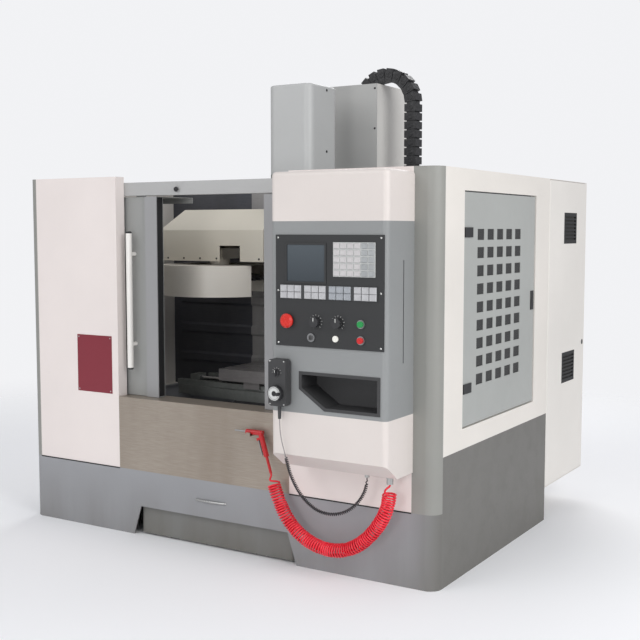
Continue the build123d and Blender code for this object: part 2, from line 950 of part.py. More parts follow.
# Spindle motor with cooling fins, under a rounded sheet cover
motor_side = spindle_motor_size / 2
with BuildPart() as spindle_motor:
    motor_y = (spindle_y - motor_side, spindle_y + motor_side)
    block((-motor_side, motor_side), motor_y, (head_top, head_top + spindle_motor_height))
    fin_pitch = spindle_motor_height / (fin_count + 1)
    for fin in range(fin_count):
        groove_z = head_top + (fin + 1) * fin_pitch
        groove = (groove_z - fin_pitch * fin_fill_share / 2, groove_z + fin_pitch * fin_fill_share / 2)
        for turn in (-1, 1):
            groove_x = sorted((turn * motor_side, turn * (motor_side - fin_depth)))
            block(groove_x, (spindle_y - motor_side, spindle_y + motor_side), groove, Mode.SUBTRACT)
save(spindle_motor, "spindle_motor")

cover_front_y = spindle_y - cover_front
with BuildPart() as motor_cover:
    cover_y = (cover_front_y, cover_front_y + cover_depth)
    block((-cover_width / 2, cover_width / 2), cover_y, (head_top, cover_top))
    fillet(motor_cover.edges().filter_by(Axis.Z), radius=cover_radius)
    fillet(motor_cover.edges().group_by(Axis.Z)[-1], radius=cover_crown)
    offset(amount=-sheet, openings=motor_cover.faces().sort_by(Axis.Z)[0])
save(motor_cover, "motor_cover")

# Front panels: folded trays left and right of the door opening
panel_rear_y = front_y + panel_return
with BuildPart() as front_panels:
    for left, right in ((post_depth - side_x, -left_panel_edge), (right_panel_edge, side_x - post_width)):
        block((left, right), (front_y, panel_rear_y), (base_front_height, guard_height))
        hollow_z = (base_front_height + sheet, guard_height - sheet)
        block((left + sheet, right - sheet), (front_y + sheet, panel_rear_y), hollow_z, Mode.SUBTRACT)
save(front_panels, "front_panels")

# Corner posts: hollow sections with a round outer corner, the right one wider
with BuildPart() as corner_posts:
    for turn, width in ((-1, post_depth), (1, post_width)):
        with BuildSketch(upright(0, 0, base_front_height)) as post_plan:
            with Locations((turn * (side_x - width / 2), front_y + post_depth / 2)):
                Rectangle(width, post_depth)
            outer_corner = post_plan.vertices().group_by(Axis.Y)[0].sort_by(Axis.X)[0 if turn < 0 else -1]
            fillet(outer_corner, radius=base_corner_radius)
            offset(amount=-sheet, mode=Mode.SUBTRACT)
        extrude(amount=guard_height - base_front_height)
save(corner_posts, "corner_posts")

# Side panels: folded trays, the right one with a framed opening and door pivots
panel_y = (front_y + post_depth, base_rear_y)
panel_z = (base_side_height, guard_height)
door_face_x = side_x - hinge_leaf_proud
vent_door_y = (front_y + side_door_front, front_y + side_door_rear)
pivot_x = door_face_x - pivot_inset_x
side_pivot_y = vent_door_y[0] + pivot_inset_y
jamb_y = (vent_door_y[0] - door_reveal, vent_door_y[1] + door_reveal)
jamb_z = (side_door_foot - door_reveal, side_door_top + door_reveal)


def side_tray(turn):
    """Add a side panel's folded tray, open to the inside of the machine."""
    block(sorted((turn * side_x, turn * (side_x - side_return))), panel_y, panel_z)
    inner_y = (panel_y[0] + sheet, panel_y[1] - sheet)
    inner_z = (panel_z[0] + sheet, panel_z[1] - sheet)
    block(sorted((turn * (side_x - sheet), turn * (side_x - side_return))), inner_y, inner_z, Mode.SUBTRACT)


with BuildPart() as side_panels:
    side_tray(-1)
    side_tray(1)
    frame_y = (jamb_y[0] - sheet, jamb_y[1] + sheet)
    frame_z = (jamb_z[0] - sheet, jamb_z[1] + sheet)
    block((side_x - side_return, side_x), frame_y, frame_z)
    block((side_x - side_return, side_x), jamb_y, jamb_z, Mode.SUBTRACT)
    for pin_foot in (jamb_z[0], side_door_top - pivot_depth):
        with Locations((pivot_x, side_pivot_y, pin_foot)):
            Cylinder(pivot_radius, pivot_depth + door_reveal, align=standing)
save(side_panels, "side_panels")

# Side access door: folded sheet with rows of vent holes, a pivot stile and two hinge leaves
with BuildPart() as side_door:
    door_x = (door_face_x - side_door_depth, door_face_x)
    block(door_x, vent_door_y, (side_door_foot, side_door_top))
    hollow_y = (vent_door_y[0] + pivot_block, vent_door_y[1] - sheet)
    hollow_z = (side_door_foot + sheet, side_door_top - sheet)
    block((door_x[0], door_face_x - sheet), hollow_y, hollow_z, Mode.SUBTRACT)
    vent_middle_y = front_y + vent_front + (vent_columns - 1) * vent_pitch_y / 2
    vent_middle_z = vent_top - (vent_rows - 1) * vent_pitch_z / 2
    with BuildSketch(at_x(door_x[0])):
        with Locations((vent_middle_y, vent_middle_z)):
            with GridLocations(vent_pitch_y, vent_pitch_z, vent_columns, vent_rows):
                Rectangle(vent_width, vent_height)
    extrude(amount=side_door_depth, mode=Mode.SUBTRACT)
    for level in (hinge_low, hinge_high):
        leaf_z = (level - hinge_leaf_height / 2, level + hinge_leaf_height / 2)
        leaf_front_y = vent_door_y[0] + door_reveal
        block((door_face_x, side_x), (leaf_front_y, leaf_front_y + hinge_leaf_length), leaf_z)
    for bore_foot in (side_door_foot, side_door_top - pivot_depth - pivot_gap):
        with Locations((pivot_x, side_pivot_y, bore_foot)):
            Cylinder(
                pivot_radius + fit_gap,
                pivot_depth + pivot_gap,
                align=standing,
                mode=Mode.SUBTRACT,
            )
save(side_door, "side_door")

# Rear wall of the work area: two ribbed sheets beside the column slot, the chain's shelf and,
# above the head, folded guards round the column
chain_y = (rear_wall_y + chain_back, rear_wall_y + chain_back + chain_width)
chain_right_x = chain_leg_x + 2 * chain_radius
wall_y = (rear_wall_y - sheet, rear_wall_y)
with BuildPart() as rear_wall:
    for turn in (-1, 1):
        wall_x = sorted((turn * column_guard_slot, turn * (side_x - side_return)))
        block(wall_x, wall_y, (base_side_height, guard_height))
        seal_x = sorted((turn * (side_x - side_return), turn * (side_x - sheet)))
        block(seal_x, wall_y, (base_side_height + sheet, guard_height - sheet))
        for rib in range(rib_count):
            rib_z = rib_foot + rib * rib_pitch
            rib_x = (wall_x[0] + rib_margin, wall_x[1] - rib_margin)
            with BuildSketch(at_x(rib_x[0])):
                with BuildLine():
                    Polyline(
                        (wall_y[0], rib_z),
                        (wall_y[0] - rib_depth, rib_z + rib_depth),
                        (wall_y[0] - rib_depth, rib_z + rib_height - rib_depth),
                        (wall_y[0], rib_z + rib_height),
                        close=True,
                    )
                make_face()
            extrude(amount=rib_x[1] - rib_x[0])
    beam_half = beam_size / 2 + beam_clearance
    beam_cut_y = (wall_y[0] - rib_depth, wall_y[1])
    beam_cut_z = (beam_z - beam_half, beam_z + beam_half)
    block((beam_x - beam_half, beam_x + beam_half), beam_cut_y, beam_cut_z, Mode.SUBTRACT)
    notch_z = (base_side_height, wall_notch_top)
    block((-wall_notch_half, wall_notch_half), beam_cut_y, notch_z, Mode.SUBTRACT)
    shelf_x = (chain_right_x - chain_height / 2, chain_right_x + chain_height / 2)
    block(shelf_x, (wall_y[0], chain_y[1]), (guard_height - chain_bracket, guard_height))
    guard_rear_y = rear_wall_y + column_guard_depth
    for turn in (-1, 1):
        guard_z = (guard_height, column_guard_top)
        block(sorted((turn * column_guard_slot, turn * column_guard_half)), wall_y, guard_z)
        guard_side = sorted((turn * (column_guard_half - sheet), turn * column_guard_half))
        block(guard_side, (wall_y[0], guard_rear_y), guard_z)
        guard_back = sorted((turn * column_half, turn * column_guard_half))
        block(guard_back, (guard_rear_y - sheet, guard_rear_y), guard_z)
    block((-column_guard_slot, column_guard_slot), wall_y, (head_top + head_pass, column_guard_top))
save(rear_wall, "rear_wall")

# Cable chain: flat core with separate link frames, from the head carriage over an arch to the shelf
arch_x = chain_leg_x + chain_radius
core_height = chain_height * chain_core_share
core_y = (chain_y[0] + chain_side, chain_y[1] - chain_side)
moving_end_z = carriage_top + fit_gap
with BuildPart() as cable_chain:
    with BuildSketch(at_y(core_y[1])):
        with Locations((arch_x, chain_centre_z)):
            Circle(chain_radius + core_height / 2)
            Circle(chain_radius - core_height / 2, mode=Mode.SUBTRACT)
            outer = chain_radius + core_height
            Rectangle(2 * outer, outer, align=hanging, mode=Mode.SUBTRACT)
    extrude(amount=core_y[1] - core_y[0])
    for leg_x, leg_foot in ((chain_leg_x, moving_end_z), (chain_right_x, guard_height)):
        block((leg_x - core_height / 2, leg_x + core_height / 2), core_y, (leg_foot, chain_centre_z))
        link_count = int((chain_centre_z - leg_foot) / chain_pitch)
        with Locations((leg_x, (chain_y[0] + chain_y[1]) / 2, leg_foot)):
            for link in range(link_count):
                with Locations((0, 0, link * chain_pitch)):
                    Box(
                        chain_height,
                        chain_width,
                        chain_pitch * chain_link_share,
                        align=standing,
                    )
    arch_links = round(pi * chain_radius / chain_pitch)
    for link in range(arch_links):
        angle = 180 * (link + 1 / 2) / arch_links
        link_x = arch_x + chain_radius * cos(radians(angle))
        link_z = chain_centre_z + chain_radius * sin(radians(angle))
        with Locations(Location((link_x, (chain_y[0] + chain_y[1]) / 2, link_z), (0, -angle, 0))):
            Box(chain_height, chain_width, chain_pitch * chain_link_share)
save(cable_chain, "cable_chain")

# Bellows: pleated strips below the head and in front of the saddle
with BuildPart() as z_bellows:
    fold = (carriage_foot - fit_gap - low_bearing[1]) / (2 * z_fold_count)
    back_y = carriage_front_y + bellow_depth
    with BuildSketch(at_x(-bellow_half)):
        with BuildLine():
            front_points = []
            for step in range(2 * z_fold_count + 1):
                reach = bellow_skin if step % 2 == 0 else bellow_depth
                front_points.append((back_y - reach, low_bearing[1] + step * fold))
            rear_points = [(y + bellow_skin, z) for y, z in reversed(front_points)]
            Polyline(*front_points, *rear_points, close=True)
        make_face()
    extrude(amount=2 * bellow_half)
save(z_bellows, "z_bellows")

saddle_front_y = spindle_y - saddle_width / 2
y_bellow_z = bed_top + rail_height + block_lift / 2
with BuildPart() as y_bellows:
    fold = (saddle_front_y - fit_gap - bed_front_y) / (2 * y_fold_count)
    with BuildSketch(at_x(-y_bellow_half)):
        with BuildLine():
            top_points = []
            for step in range(2 * y_fold_count + 1):
                rise = y_bellow_skin if step % 2 == 0 else y_bellow_height
                top_points.append((bed_front_y + step * fold, y_bellow_z + rise))
            low_points = [(y, z - y_bellow_skin) for y, z in reversed(top_points)]
            Polyline(*top_points, *low_points, close=True)
        make_face()
    extrude(amount=2 * y_bellow_half)
save(y_bellows, "y_bellows")

# Tool magazine bracket: back plate with two guide bars in lugs, on a beam to the column's left side
plate_y = spindle_y + hood_rear
bar_y = spindle_y + bar_back
lug_y = (bar_y - 2 * bar_radius, plate_y)
lug_z = (bar_z_low - 2 * bar_radius, bar_z_high + 2 * bar_radius)
with BuildPart() as magazine_bracket:
    block((hood_left, hood_right), (plate_y, plate_y + back_plate_thickness), (arm_top + overrun, hood_top))
    lug_left = hood_left + sheet + run_gap
    lug_right = hood_right - sheet - run_gap
    block((lug_left, lug_left + lug_thickness), lug_y, lug_z)
    block((lug_right - lug_thickness, lug_right), lug_y, lug_z)
    with BuildSketch(at_x(lug_left)):
        for bar_z in (bar_z_low, bar_z_high):
            with Locations((bar_y, bar_z)):
                Circle(bar_radius)
    extrude(amount=lug_right - lug_left)
    arm_half = beam_size / 2
    beam_rear_y = column_y + beam_depth
    beam_levels = (beam_z - arm_half, beam_z + arm_half)
    beam_y = (plate_y + back_plate_thickness, beam_rear_y)
    block((beam_x - arm_half, beam_x + arm_half), beam_y, beam_levels)
    block((beam_x - arm_half, -column_half), (beam_rear_y - beam_size, beam_rear_y), beam_levels)
save(magazine_bracket, "magazine_bracket")

# Magazine hood: folded sheet with a sloped front, a hipped left end and a slot at its lower right
with BuildPart() as magazine_cover:
    hood_y = spindle_y - hood_front
    with BuildSketch(at_x(hood_left)):
        with BuildLine():
            Polyline(
                (hood_y, hood_foot),
                (hood_y, hood_fold),
                (hood_y + hood_slope, hood_top),
                (plate_y, hood_top),
                (plate_y, hood_foot),
                close=True,
            )
        make_face()
    extrude(amount=hood_right - hood_left)
    left_top = magazine_cover.edges().filter_by(Axis.Y).group_by(Axis.Z)[-1].sort_by(Axis.X)[0]
    chamfer(left_top, length=hood_hip)
    open_faces = [magazine_cover.faces().sort_by(Axis.Z)[0], magazine_cover.faces().sort_by(Axis.Y)[-1]]
    offset(amount=-sheet, openings=open_faces)
    slot_right = hood_right - hood_slot_inset
    slot_x = (slot_right - hood_slot_width, slot_right)
    block(slot_x, (hood_y, hood_y + sheet), (hood_foot, hood_slot_top), Mode.SUBTRACT)
save(magazine_cover, "magazine_cover")

# Magazine carriage: slide on the bars, arm, drive motor and the round shroud with its mouth at the spindle
mouth_half = shroud_radius * sin(radians(shroud_mouth_angle / 2))
with BuildPart() as magazine_carriage:
    slide_y = (bar_y - slide_depth / 2, bar_y + slide_depth / 2)
    block((slide_left, slide_right), slide_y, (arm_top, slide_top))
    with BuildSketch(at_x(slide_left)):
        for bar_z in (bar_z_low, bar_z_high):
            with Locations((bar_y, bar_z)):
                Circle(bar_radius + fit_gap)
    extrude(amount=slide_right - slide_left, mode=Mode.SUBTRACT)
    arm_y = (spindle_y - arm_front, slide_y[1])
    block((slide_left, magazine_x + arm_right), arm_y, (arm_top - arm_thickness, arm_top))
    with Locations((magazine_motor_x, spindle_y, arm_top)):
        Cylinder(magazine_motor_radius, magazine_motor_height, align=standing)
    with Locations((magazine_x, spindle_y, shroud_foot)):
        Cylinder(shroud_radius, shroud_height, align=standing)
        Cylinder(
            shroud_radius - sheet,
            shroud_height - sheet,
            align=standing,
            mode=Mode.SUBTRACT,
        )
    with Locations((magazine_x, spindle_y, shroud_top - sheet)):
        Cylinder(hub_radius, hub_height + sheet, align=standing)
    mouth_x = (magazine_x + shroud_radius - 2 * finger_length, magazine_x + shroud_radius)
    mouth_y = (spindle_y - mouth_half, spindle_y + mouth_half)
    block(mouth_x, mouth_y, (shroud_foot, shroud_top), Mode.SUBTRACT)
    with Locations((magazine_x, spindle_y, shroud_top - sheet)):
        Cylinder(
            hub_radius / 2 + fit_gap,
            arm_thickness,
            align=standing,
            mode=Mode.SUBTRACT,
        )
save(magazine_carriage, "magazine_carriage")

# Tool disc: hub shaft, plate and a ring of grippers open to the outside
with BuildPart() as magazine_disc:
    with Locations((magazine_x, spindle_y, disc_height)):
        Cylinder(disc_radius, disc_thickness, align=standing)
        shaft_top = shroud_top - sheet + arm_thickness - run_gap
        Cylinder(hub_radius / 2, shaft_top - disc_height, align=standing)
    with BuildSketch(upright(magazine_x, spindle_y, disc_height)):
        with PolarLocations(disc_radius, finger_count):
            Rectangle(2 * finger_length, finger_width)
        with PolarLocations(disc_radius + finger_length, finger_count):
            Rectangle(2 * finger_jaw_radius, 2 * finger_jaw_radius, mode=Mode.SUBTRACT)
    extrude(amount=finger_thickness)
save(magazine_disc, "magazine_disc")

# Front apron below the doors, folded back into the sill, with a hook for the blow gun
hook_y = (front_y - hook_length, front_y)
gun_y = front_y - hook_length / 2
hook_top = gun_z - gun_radius - fit_gap
with BuildPart() as front_apron:
    apron_x = (-left_panel_edge, right_panel_edge)
    block(apron_x, (front_y, front_y + sheet), (base_front_height, apron_height))
    block(apron_x, (front_y, front_y + apron_sill), (apron_height - sheet, apron_height))
    lip_y = (front_y + apron_sill - sheet, front_y + apron_sill)
    block(apron_x, lip_y, (apron_height - overrun, apron_height))
    hook_x = (gun_x - gun_head_length, gun_x - gun_head_length + hook_width)
    block(hook_x, hook_y, (hook_top - hook_thickness, hook_top))
    block(hook_x, (hook_y[0], hook_y[0] + hook_thickness), (hook_top, hook_top + gun_radius))
save(front_apron, "front_apron")

# Door header: channel with lips that carries both leaves
header_y = (front_y + header_back, front_y + header_back + header_depth)
header_mid_y = (header_y[0] + header_y[1]) / 2
header_half = side_x - sheet
with BuildPart() as door_header:
    block((-header_half, header_half), header_y, (header_foot, header_top))
    inside_y = (header_y[0] + header_wall, header_y[1] - header_wall)
    inside_z = (header_foot + header_wall, header_top - header_wall)
    block((-header_half, header_half), inside_y, inside_z, Mode.SUBTRACT)
    slot_y = (header_mid_y - header_slot / 2, header_mid_y + header_slot / 2)
    block((-header_half, header_half), slot_y, (header_foot, header_foot + header_wall), Mode.SUBTRACT)
save(door_header, "door_header")

# Sliding doors: folded leaf with a raised meeting stile, wrapped top, window, hangers and tube handle
door_y = (front_y + door_back, front_y + door_back + door_depth)
door_foot = apron_height + run_gap
window_z = (window_foot + window_top) / 2


def window_x(edge, turn):
    """Middle of a leaf's window."""
    return edge + turn * (door_width - window_left_margin - window_width / 2)


def door_leaf(edge, turn):
    """Add a leaf that runs from its meeting edge in the direction of turn."""
    far = edge + turn * door_width
    block(sorted((edge, far)), door_y, (door_foot, door_top))
    hollow_x = sorted((edge + turn * stile_width, far - turn * sheet))
    block(hollow_x, (door_y[0] + sheet, door_y[1]), (door_foot + sheet, door_top - sheet), Mode.SUBTRACT)
    with BuildSketch(upright(0, 0, door_foot)) as stile_plan:
        with BuildLine():
            Polyline(
                (edge, door_y[0]),
                (edge, door_y[0] - stile_proud),
                (edge + turn * (stile_width - stile_chamfer), door_y[0] - stile_proud),
                (edge + turn * stile_width, door_y[0]),
                close=True,
            )
        make_face()
    extrude(stile_plan.sketch, amount=door_top - door_foot)
    block(sorted((edge, far)), (door_y[0], door_y[0] + door_wrap), (door_top - sheet, door_top))
    wrap_y = (door_y[0] + door_wrap - sheet, door_y[0] + door_wrap)
    block(sorted((edge, far)), wrap_y, (door_top - door_lip, door_top))
    with BuildSketch(at_y(door_y[0])) as window_plan:
        with Locations((window_x(edge, turn), window_z)):
            RectangleRounded(window_width, window_top - window_foot, window_radius)
    extrude(window_plan.sketch, amount=-sheet, mode=Mode.SUBTRACT)
    for share in hanger_shares:
        hanger_x = edge + turn * door_width * share
        span_x = (hanger_x - hanger_width / 2, hanger_x + hanger_width / 2)
        neck_y = (header_mid_y - hanger_neck / 2, header_mid_y + hanger_neck / 2)
        head_y = (header_mid_y - hanger_head / 2, header_mid_y + hanger_head / 2)
        head_foot_z = header_foot + header_wall + fit_gap
        block(span_x, neck_y, (door_top, head_foot_z))
        block(span_x, head_y, (head_foot_z, head_foot_z + hanger_head_height))


def door_glass(edge, turn):
    """Add a leaf's window pane, seated behind the front sheet."""
    half = window_width / 2 + glass_lap
    middle = window_x(edge, turn)
    pane_y = (door_y[0] + sheet, door_y[0] + sheet + glass_thickness)
    block((middle - half, middle + half), pane_y, (window_foot - glass_lap, window_top + glass_lap))


def door_handle(edge, turn):
    """Add a leaf's upright tube handle on two standoffs."""
    handle_x = edge + turn * handle_inset
    bar_front_y = door_y[0] - handle_stand
    with Locations((handle_x, bar_front_y, handle_foot)):
        Cylinder(handle_radius, handle_top - handle_foot, align=standing)
    for level in (standoff_low, standoff_high):
        post(facing_operator(handle_x, door_y[0], level), standoff_radius, handle_stand)


with BuildPart() as door_left:
    door_leaf(door_left_edge, -1)
save(door_left, "door_left")

with BuildPart() as door_left_window:
    door_glass(door_left_edge, -1)
save(door_left_window, "door_left_window")

with BuildPart() as door_left_handle:
    door_handle(door_left_edge, -1)
save(door_left_handle, "door_left_handle")

with BuildPart() as door_right:
    door_leaf(door_right_edge, 1)
save(door_right, "door_right")

with BuildPart() as door_right_window:
    door_glass(door_right_edge, 1)
save(door_right_window, "door_right_window")

with BuildPart() as door_right_handle:
    door_handle(door_right_edge, 1)
save(door_right_handle, "door_right_handle")

# Electrical cabinet: shell open to the right, carried on two arms from the column
shell_x = (cabinet_left, side_x - cabinet_door_depth - run_gap)
shell_z = (cabinet_foot, guard_height)
cabinet_y = (base_rear_y, rear_y)
cabinet_pivot_x = side_x - pivot_inset_x
cabinet_door_y = (base_rear_y + door_reveal, rear_y - run_gap)
cabinet_door_z = (cabinet_foot + sheet + pivot_gap, guard_height - sheet - pivot_gap)
cabinet_pivot_y = cabinet_door_y[0] + pivot_inset_y
with BuildPart() as cabinet_shell:
    block(shell_x, cabinet_y, shell_z)
    hollow_y = (cabinet_y[0] + sheet, cabinet_y[1] - sheet)
    hollow_z = (shell_z[0] + sheet, shell_z[1] - sheet)
    block((shell_x[0] + sheet, shell_x[1] - sheet), hollow_y, hollow_z, Mode.SUBTRACT)
    rim_y = (cabinet_y[0] + cabinet_rim, cabinet_y[1] - cabinet_rim)
    rim_z = (shell_z[0] + cabinet_rim, shell_z[1] - cabinet_rim)
    block((shell_x[1] - sheet, shell_x[1]), rim_y, rim_z, Mode.SUBTRACT)
    for plate_z in ((shell_z[0], shell_z[0] + sheet), (shell_z[1] - sheet, shell_z[1])):
        block((shell_x[1], side_x), cabinet_y, plate_z)
    for pin_foot in (shell_z[0], cabinet_door_z[1] - pivot_depth):
        with Locations((cabinet_pivot_x, cabinet_pivot_y, pin_foot)):
            pin_length = pivot_depth + sheet + pivot_gap
            Cylinder(pivot_radius, pin_length, align=standing)
    arm_y = front_y + cabinet_arm_back
    for level in (cabinet_arm_low, cabinet_arm_high):
        arm_span = (arm_y - cabinet_arm / 2, arm_y + cabinet_arm / 2)
        block((column_half, cabinet_left), arm_span, (level - cabinet_arm / 2, level + cabinet_arm / 2))
save(cabinet_shell, "cabinet_shell")

# Cabinet door: folded sheet with a pivot stile and two openings for the fan grilles
grille_y = (front_y + grille_front, front_y + grille_front + grille_width)
with BuildPart() as cabinet_door:
    leaf_x = (side_x - cabinet_door_depth, side_x)
    block(leaf_x, cabinet_door_y, cabinet_door_z)
    fillet(cabinet_door.edges().filter_by(Axis.Z).group_by(Axis.Y)[0], radius=pivot_nose_radius)
    hollow_y = (cabinet_door_y[0] + pivot_block, cabinet_door_y[1] - sheet)
    hollow_z = (cabinet_door_z[0] + sheet, cabinet_door_z[1] - sheet)
    block((leaf_x[0], side_x - sheet), hollow_y, hollow_z, Mode.SUBTRACT)
    for level in (grille_low, grille_high):
        span_z = (level - grille_height / 2 - fit_gap, level + grille_height / 2 + fit_gap)
        block(leaf_x, (grille_y[0] - fit_gap, grille_y[1] + fit_gap), span_z, Mode.SUBTRACT)
    for bore_foot in (cabinet_door_z[0], cabinet_door_z[1] - pivot_depth - pivot_gap):
        with Locations((cabinet_pivot_x, cabinet_pivot_y, bore_foot)):
            Cylinder(
                pivot_radius + fit_gap,
                pivot_depth + pivot_gap,
                align=standing,
                mode=Mode.SUBTRACT,
            )
save(cabinet_door, "cabinet_door")

# Fan grilles: square frames with slats, set flush in the cabinet door
with BuildPart() as fan_grilles:
    for level in (grille_low, grille_high):
        grille_z = (level - grille_height / 2, level + grille_height / 2)
        grille_x = (side_x - grille_depth, side_x)
        block(grille_x, grille_y, grille_z)
        slot_pitch_z = (grille_height - 2 * grille_frame) / grille_slats
        for slot in range(grille_slats):
            slot_foot = grille_z[0] + grille_frame + (slot + (1 - slat_fill_share) / 2) * slot_pitch_z
            slot_span_z = (slot_foot, slot_foot + slot_pitch_z * slat_fill_share)
            slot_span_y = (grille_y[0] + grille_frame, grille_y[1] - grille_frame)
            block(grille_x, slot_span_y, slot_span_z, Mode.SUBTRACT)
save(fan_grilles, "fan_grilles")

# Drive rack: mounting plate on spacers with servo drives above a row of breakers
with BuildPart() as drive_rack:
    rack_x = shell_x[0] + sheet + plate_stand
    rack_y = (cabinet_y[0] + plate_margin, cabinet_y[1] - plate_margin)
    rack_z = (shell_z[0] + plate_margin, shell_z[1] - plate_margin)
    block((rack_x, rack_x + plate_thickness), rack_y, rack_z)
    for post_y in (rack_y[0] + plate_stand, rack_y[1] - plate_stand):
        for post_z in (rack_z[0] + plate_stand, rack_z[1] - plate_stand):
            span_y = (post_y - plate_stand / 2, post_y + plate_stand / 2)
            span_z = (post_z - plate_stand / 2, post_z + plate_stand / 2)
            block((shell_x[0] + sheet, rack_x), span_y, span_z)
    device_x = rack_x + plate_thickness
    drive_pitch = drive_width + drive_gap
    drive_start = (rack_y[0] + rack_y[1] - drive_count * drive_pitch + drive_gap) / 2
    for drive in range(drive_count):
        drive_y = drive_start + drive * drive_pitch
        drive_z = (drive_foot, drive_foot + drive_height)
        block((device_x, device_x + drive_depth), (drive_y, drive_y + drive_width), drive_z)
    breaker_y = (drive_start, drive_start + drive_count * drive_pitch - drive_gap)
    block((device_x, device_x + breaker_depth), breaker_y, (breaker_foot, breaker_foot + breaker_height))
save(drive_rack, "drive_rack")

# Operator station: rounded cap above, bevelled foot below and a grey body between, all hollow sheet


def pod_block(foot, top, inset, mode=Mode.ADD):
    """Add or cut the station's section between two levels, rounded at the front corners."""
    with BuildSketch(upright((pod_left + pod_right) / 2, (pod_y + front_y) / 2, foot)) as plan:
        Rectangle(pod_right - pod_left - inset - inset, pod_projection - inset - inset)
        fillet(plan.vertices().group_by(Axis.Y)[0], radius=pod_edge_radius - inset)
    extrude(plan.sketch, amount=top - foot, mode=mode)


with BuildPart() as pod_cap:
    pod_block(pod_cap_foot, pod_top, 0)
    top_edges = pod_cap.faces().sort_by(Axis.Z)[-1].edges().sort_by(Axis.Y)[:-1]
    fillet(top_edges, radius=pod_cap_radius)
    offset(amount=-sheet, openings=pod_cap.faces().sort_by(Axis.Z)[0])

with BuildPart() as pod_covers:
    pod_block(pod_foot, pod_body_foot, 0)
    with BuildSketch(at_x(pod_left)):
        with BuildLine():
            Polyline(
                (pod_y, pod_front_foot),
                (pod_y + pod_bevel_depth, pod_foot),
                (pod_y, pod_foot),
                close=True,
            )
        make_face()
    extrude(amount=pod_right - pod_left, mode=Mode.SUBTRACT)
    offset(amount=-sheet, openings=pod_covers.faces().sort_by(Axis.Z)[-1])
    add(pod_cap.part)
save(pod_covers, "pod_covers")


def pocket_points(grow):
    """Corners of the tray pocket's outline, moved outwards by grow."""
    return (
        (pocket_left - grow, pocket_top + grow),
        (pocket_right + grow, pocket_top + grow),
        (pocket_right + grow, pocket_foot - grow),
        (pocket_slope_right - grow / 2, pocket_foot - grow),
        (pocket_left - grow, pocket_slope_height - grow / 2),
    )


def pocket_prism(y, grow, depth, mode=Mode.ADD):
    """Add or cut the pocket's outline from a plane towards the rear."""
    with BuildSketch(at_y(y)) as outline:
        with BuildLine():
            Polyline(*pocket_points(grow), close=True)
        make_face()
    extrude(outline.sketch, amount=-depth, mode=mode)


board_face_y = pod_y - panel_proud
board_back_y = board_face_y + panel_thickness
with BuildPart() as pod_body:
    pod_block(pod_body_foot, pod_cap_foot, 0)
    pod_block(pod_body_foot, pod_cap_foot, sheet, Mode.SUBTRACT)
    board_x = (panel_left - fit_gap, panel_right + fit_gap)
    block(board_x, (pod_y, board_back_y), (panel_foot - fit_gap, panel_top + fit_gap), Mode.SUBTRACT)
    ledge_z = (panel_foot - fit_gap - sheet, panel_foot - fit_gap)
    block(board_x, (pod_y + sheet, board_back_y + sheet), ledge_z)
    block(board_x, (board_back_y, board_back_y + sheet), (ledge_z[1], ledge_z[1] + overrun))
    pocket_prism(pod_y, fit_gap, sheet, Mode.SUBTRACT)
    slot_mid_y = front_y - side_slot_back
    slot_span_y = (slot_mid_y - side_slot_width / 2, slot_mid_y + side_slot_width / 2)
    block((pod_right - sheet, pod_right), slot_span_y, (side_slot_foot, side_slot_top), Mode.SUBTRACT)
save(pod_body, "pod_body")

# Tray pocket below the panel: sheet box with a lip round its mouth
with BuildPart() as tray_pocket:
    pocket_prism(pod_y, 0, pocket_depth)
    pocket_prism(pod_y - sheet, pocket_lip, sheet)
    pocket_prism(pod_y - sheet, -pocket_wall, pocket_depth + sheet - pocket_wall, Mode.SUBTRACT)
save(tray_pocket, "tray_pocket")

# Control panel: board with a framed screen recess, two key fields, collars, a lamp and stem bores


def on_board(x, z):
    """Sketch plane on the board's face at a control, extrusion runs to the operator."""
    return facing_operator(x, board_face_y, z)


def through_board(x, z, radius):
    """Cut a control's bore through collar and board."""
    bore_length = panel_thickness + collar_height
    post(facing_operator(x, board_back_y, z), radius + fit_gap, bore_length, Mode.SUBTRACT)


with BuildPart() as control_panel:
    block((panel_left, panel_right), (board_face_y, board_back_y), (panel_foot, panel_top))
    bezel_x = (screen_left - screen_bezel, screen_right + screen_bezel)
    bezel_z = (screen_foot - screen_bezel, screen_top + screen_bezel)
    block(bezel_x, (board_face_y - bezel_proud, board_face_y), bezel_z)
    recess_x = (screen_left - fit_gap, screen_right + fit_gap)
    recess_y = (board_face_y - bezel_proud, board_face_y + screen_thickness)
    block(recess_x, recess_y, (screen_foot - fit_gap, screen_top + fit_gap), Mode.SUBTRACT)
    pad_y = (board_face_y - pad_thickness, board_face_y)
    block((pad_left, pad_right), pad_y, (pad_foot, pad_top))
    block((strip_left, strip_right), pad_y, (strip_foot, strip_top))
    collar_places = ((right_button_x, upper_row), (right_button_x, lower_row), (key_x, lower_row))
    for collar_x, collar_z in collar_places:
        post(on_board(collar_x, collar_z), collar_radius, collar_height)
    post(on_board(lamp_x, lower_row), button_radius, collar_height)
    through_board(stop_x, upper_row, mushroom_stem_radius)
    through_board(feed_x, upper_row, knob_stem_radius)
    through_board(rate_x, upper_row, knob_stem_radius)
    through_board(right_button_x, upper_row, button_radius)
    through_board(right_button_x, lower_row, button_radius)
    through_board(key_x, lower_row, key_barrel_radius)
save(control_panel, "control_panel")

with BuildPart() as screen:
    screen_y = (board_face_y, board_face_y + screen_thickness)
    block((screen_left, screen_right), screen_y, (screen_foot, screen_top))
save(screen, "screen")

# Push buttons, emergency stop, key switch and override knobs, each on a stem in its bore
stem_y = board_back_y + stem_depth
stem_length = stem_y - board_face_y


def push_button(z):
    """Add a push button that stands proud of its collar."""
    button_length = stem_length + collar_height + button_stand
    post(facing_operator(right_button_x, stem_y, z), button_radius, button_length)


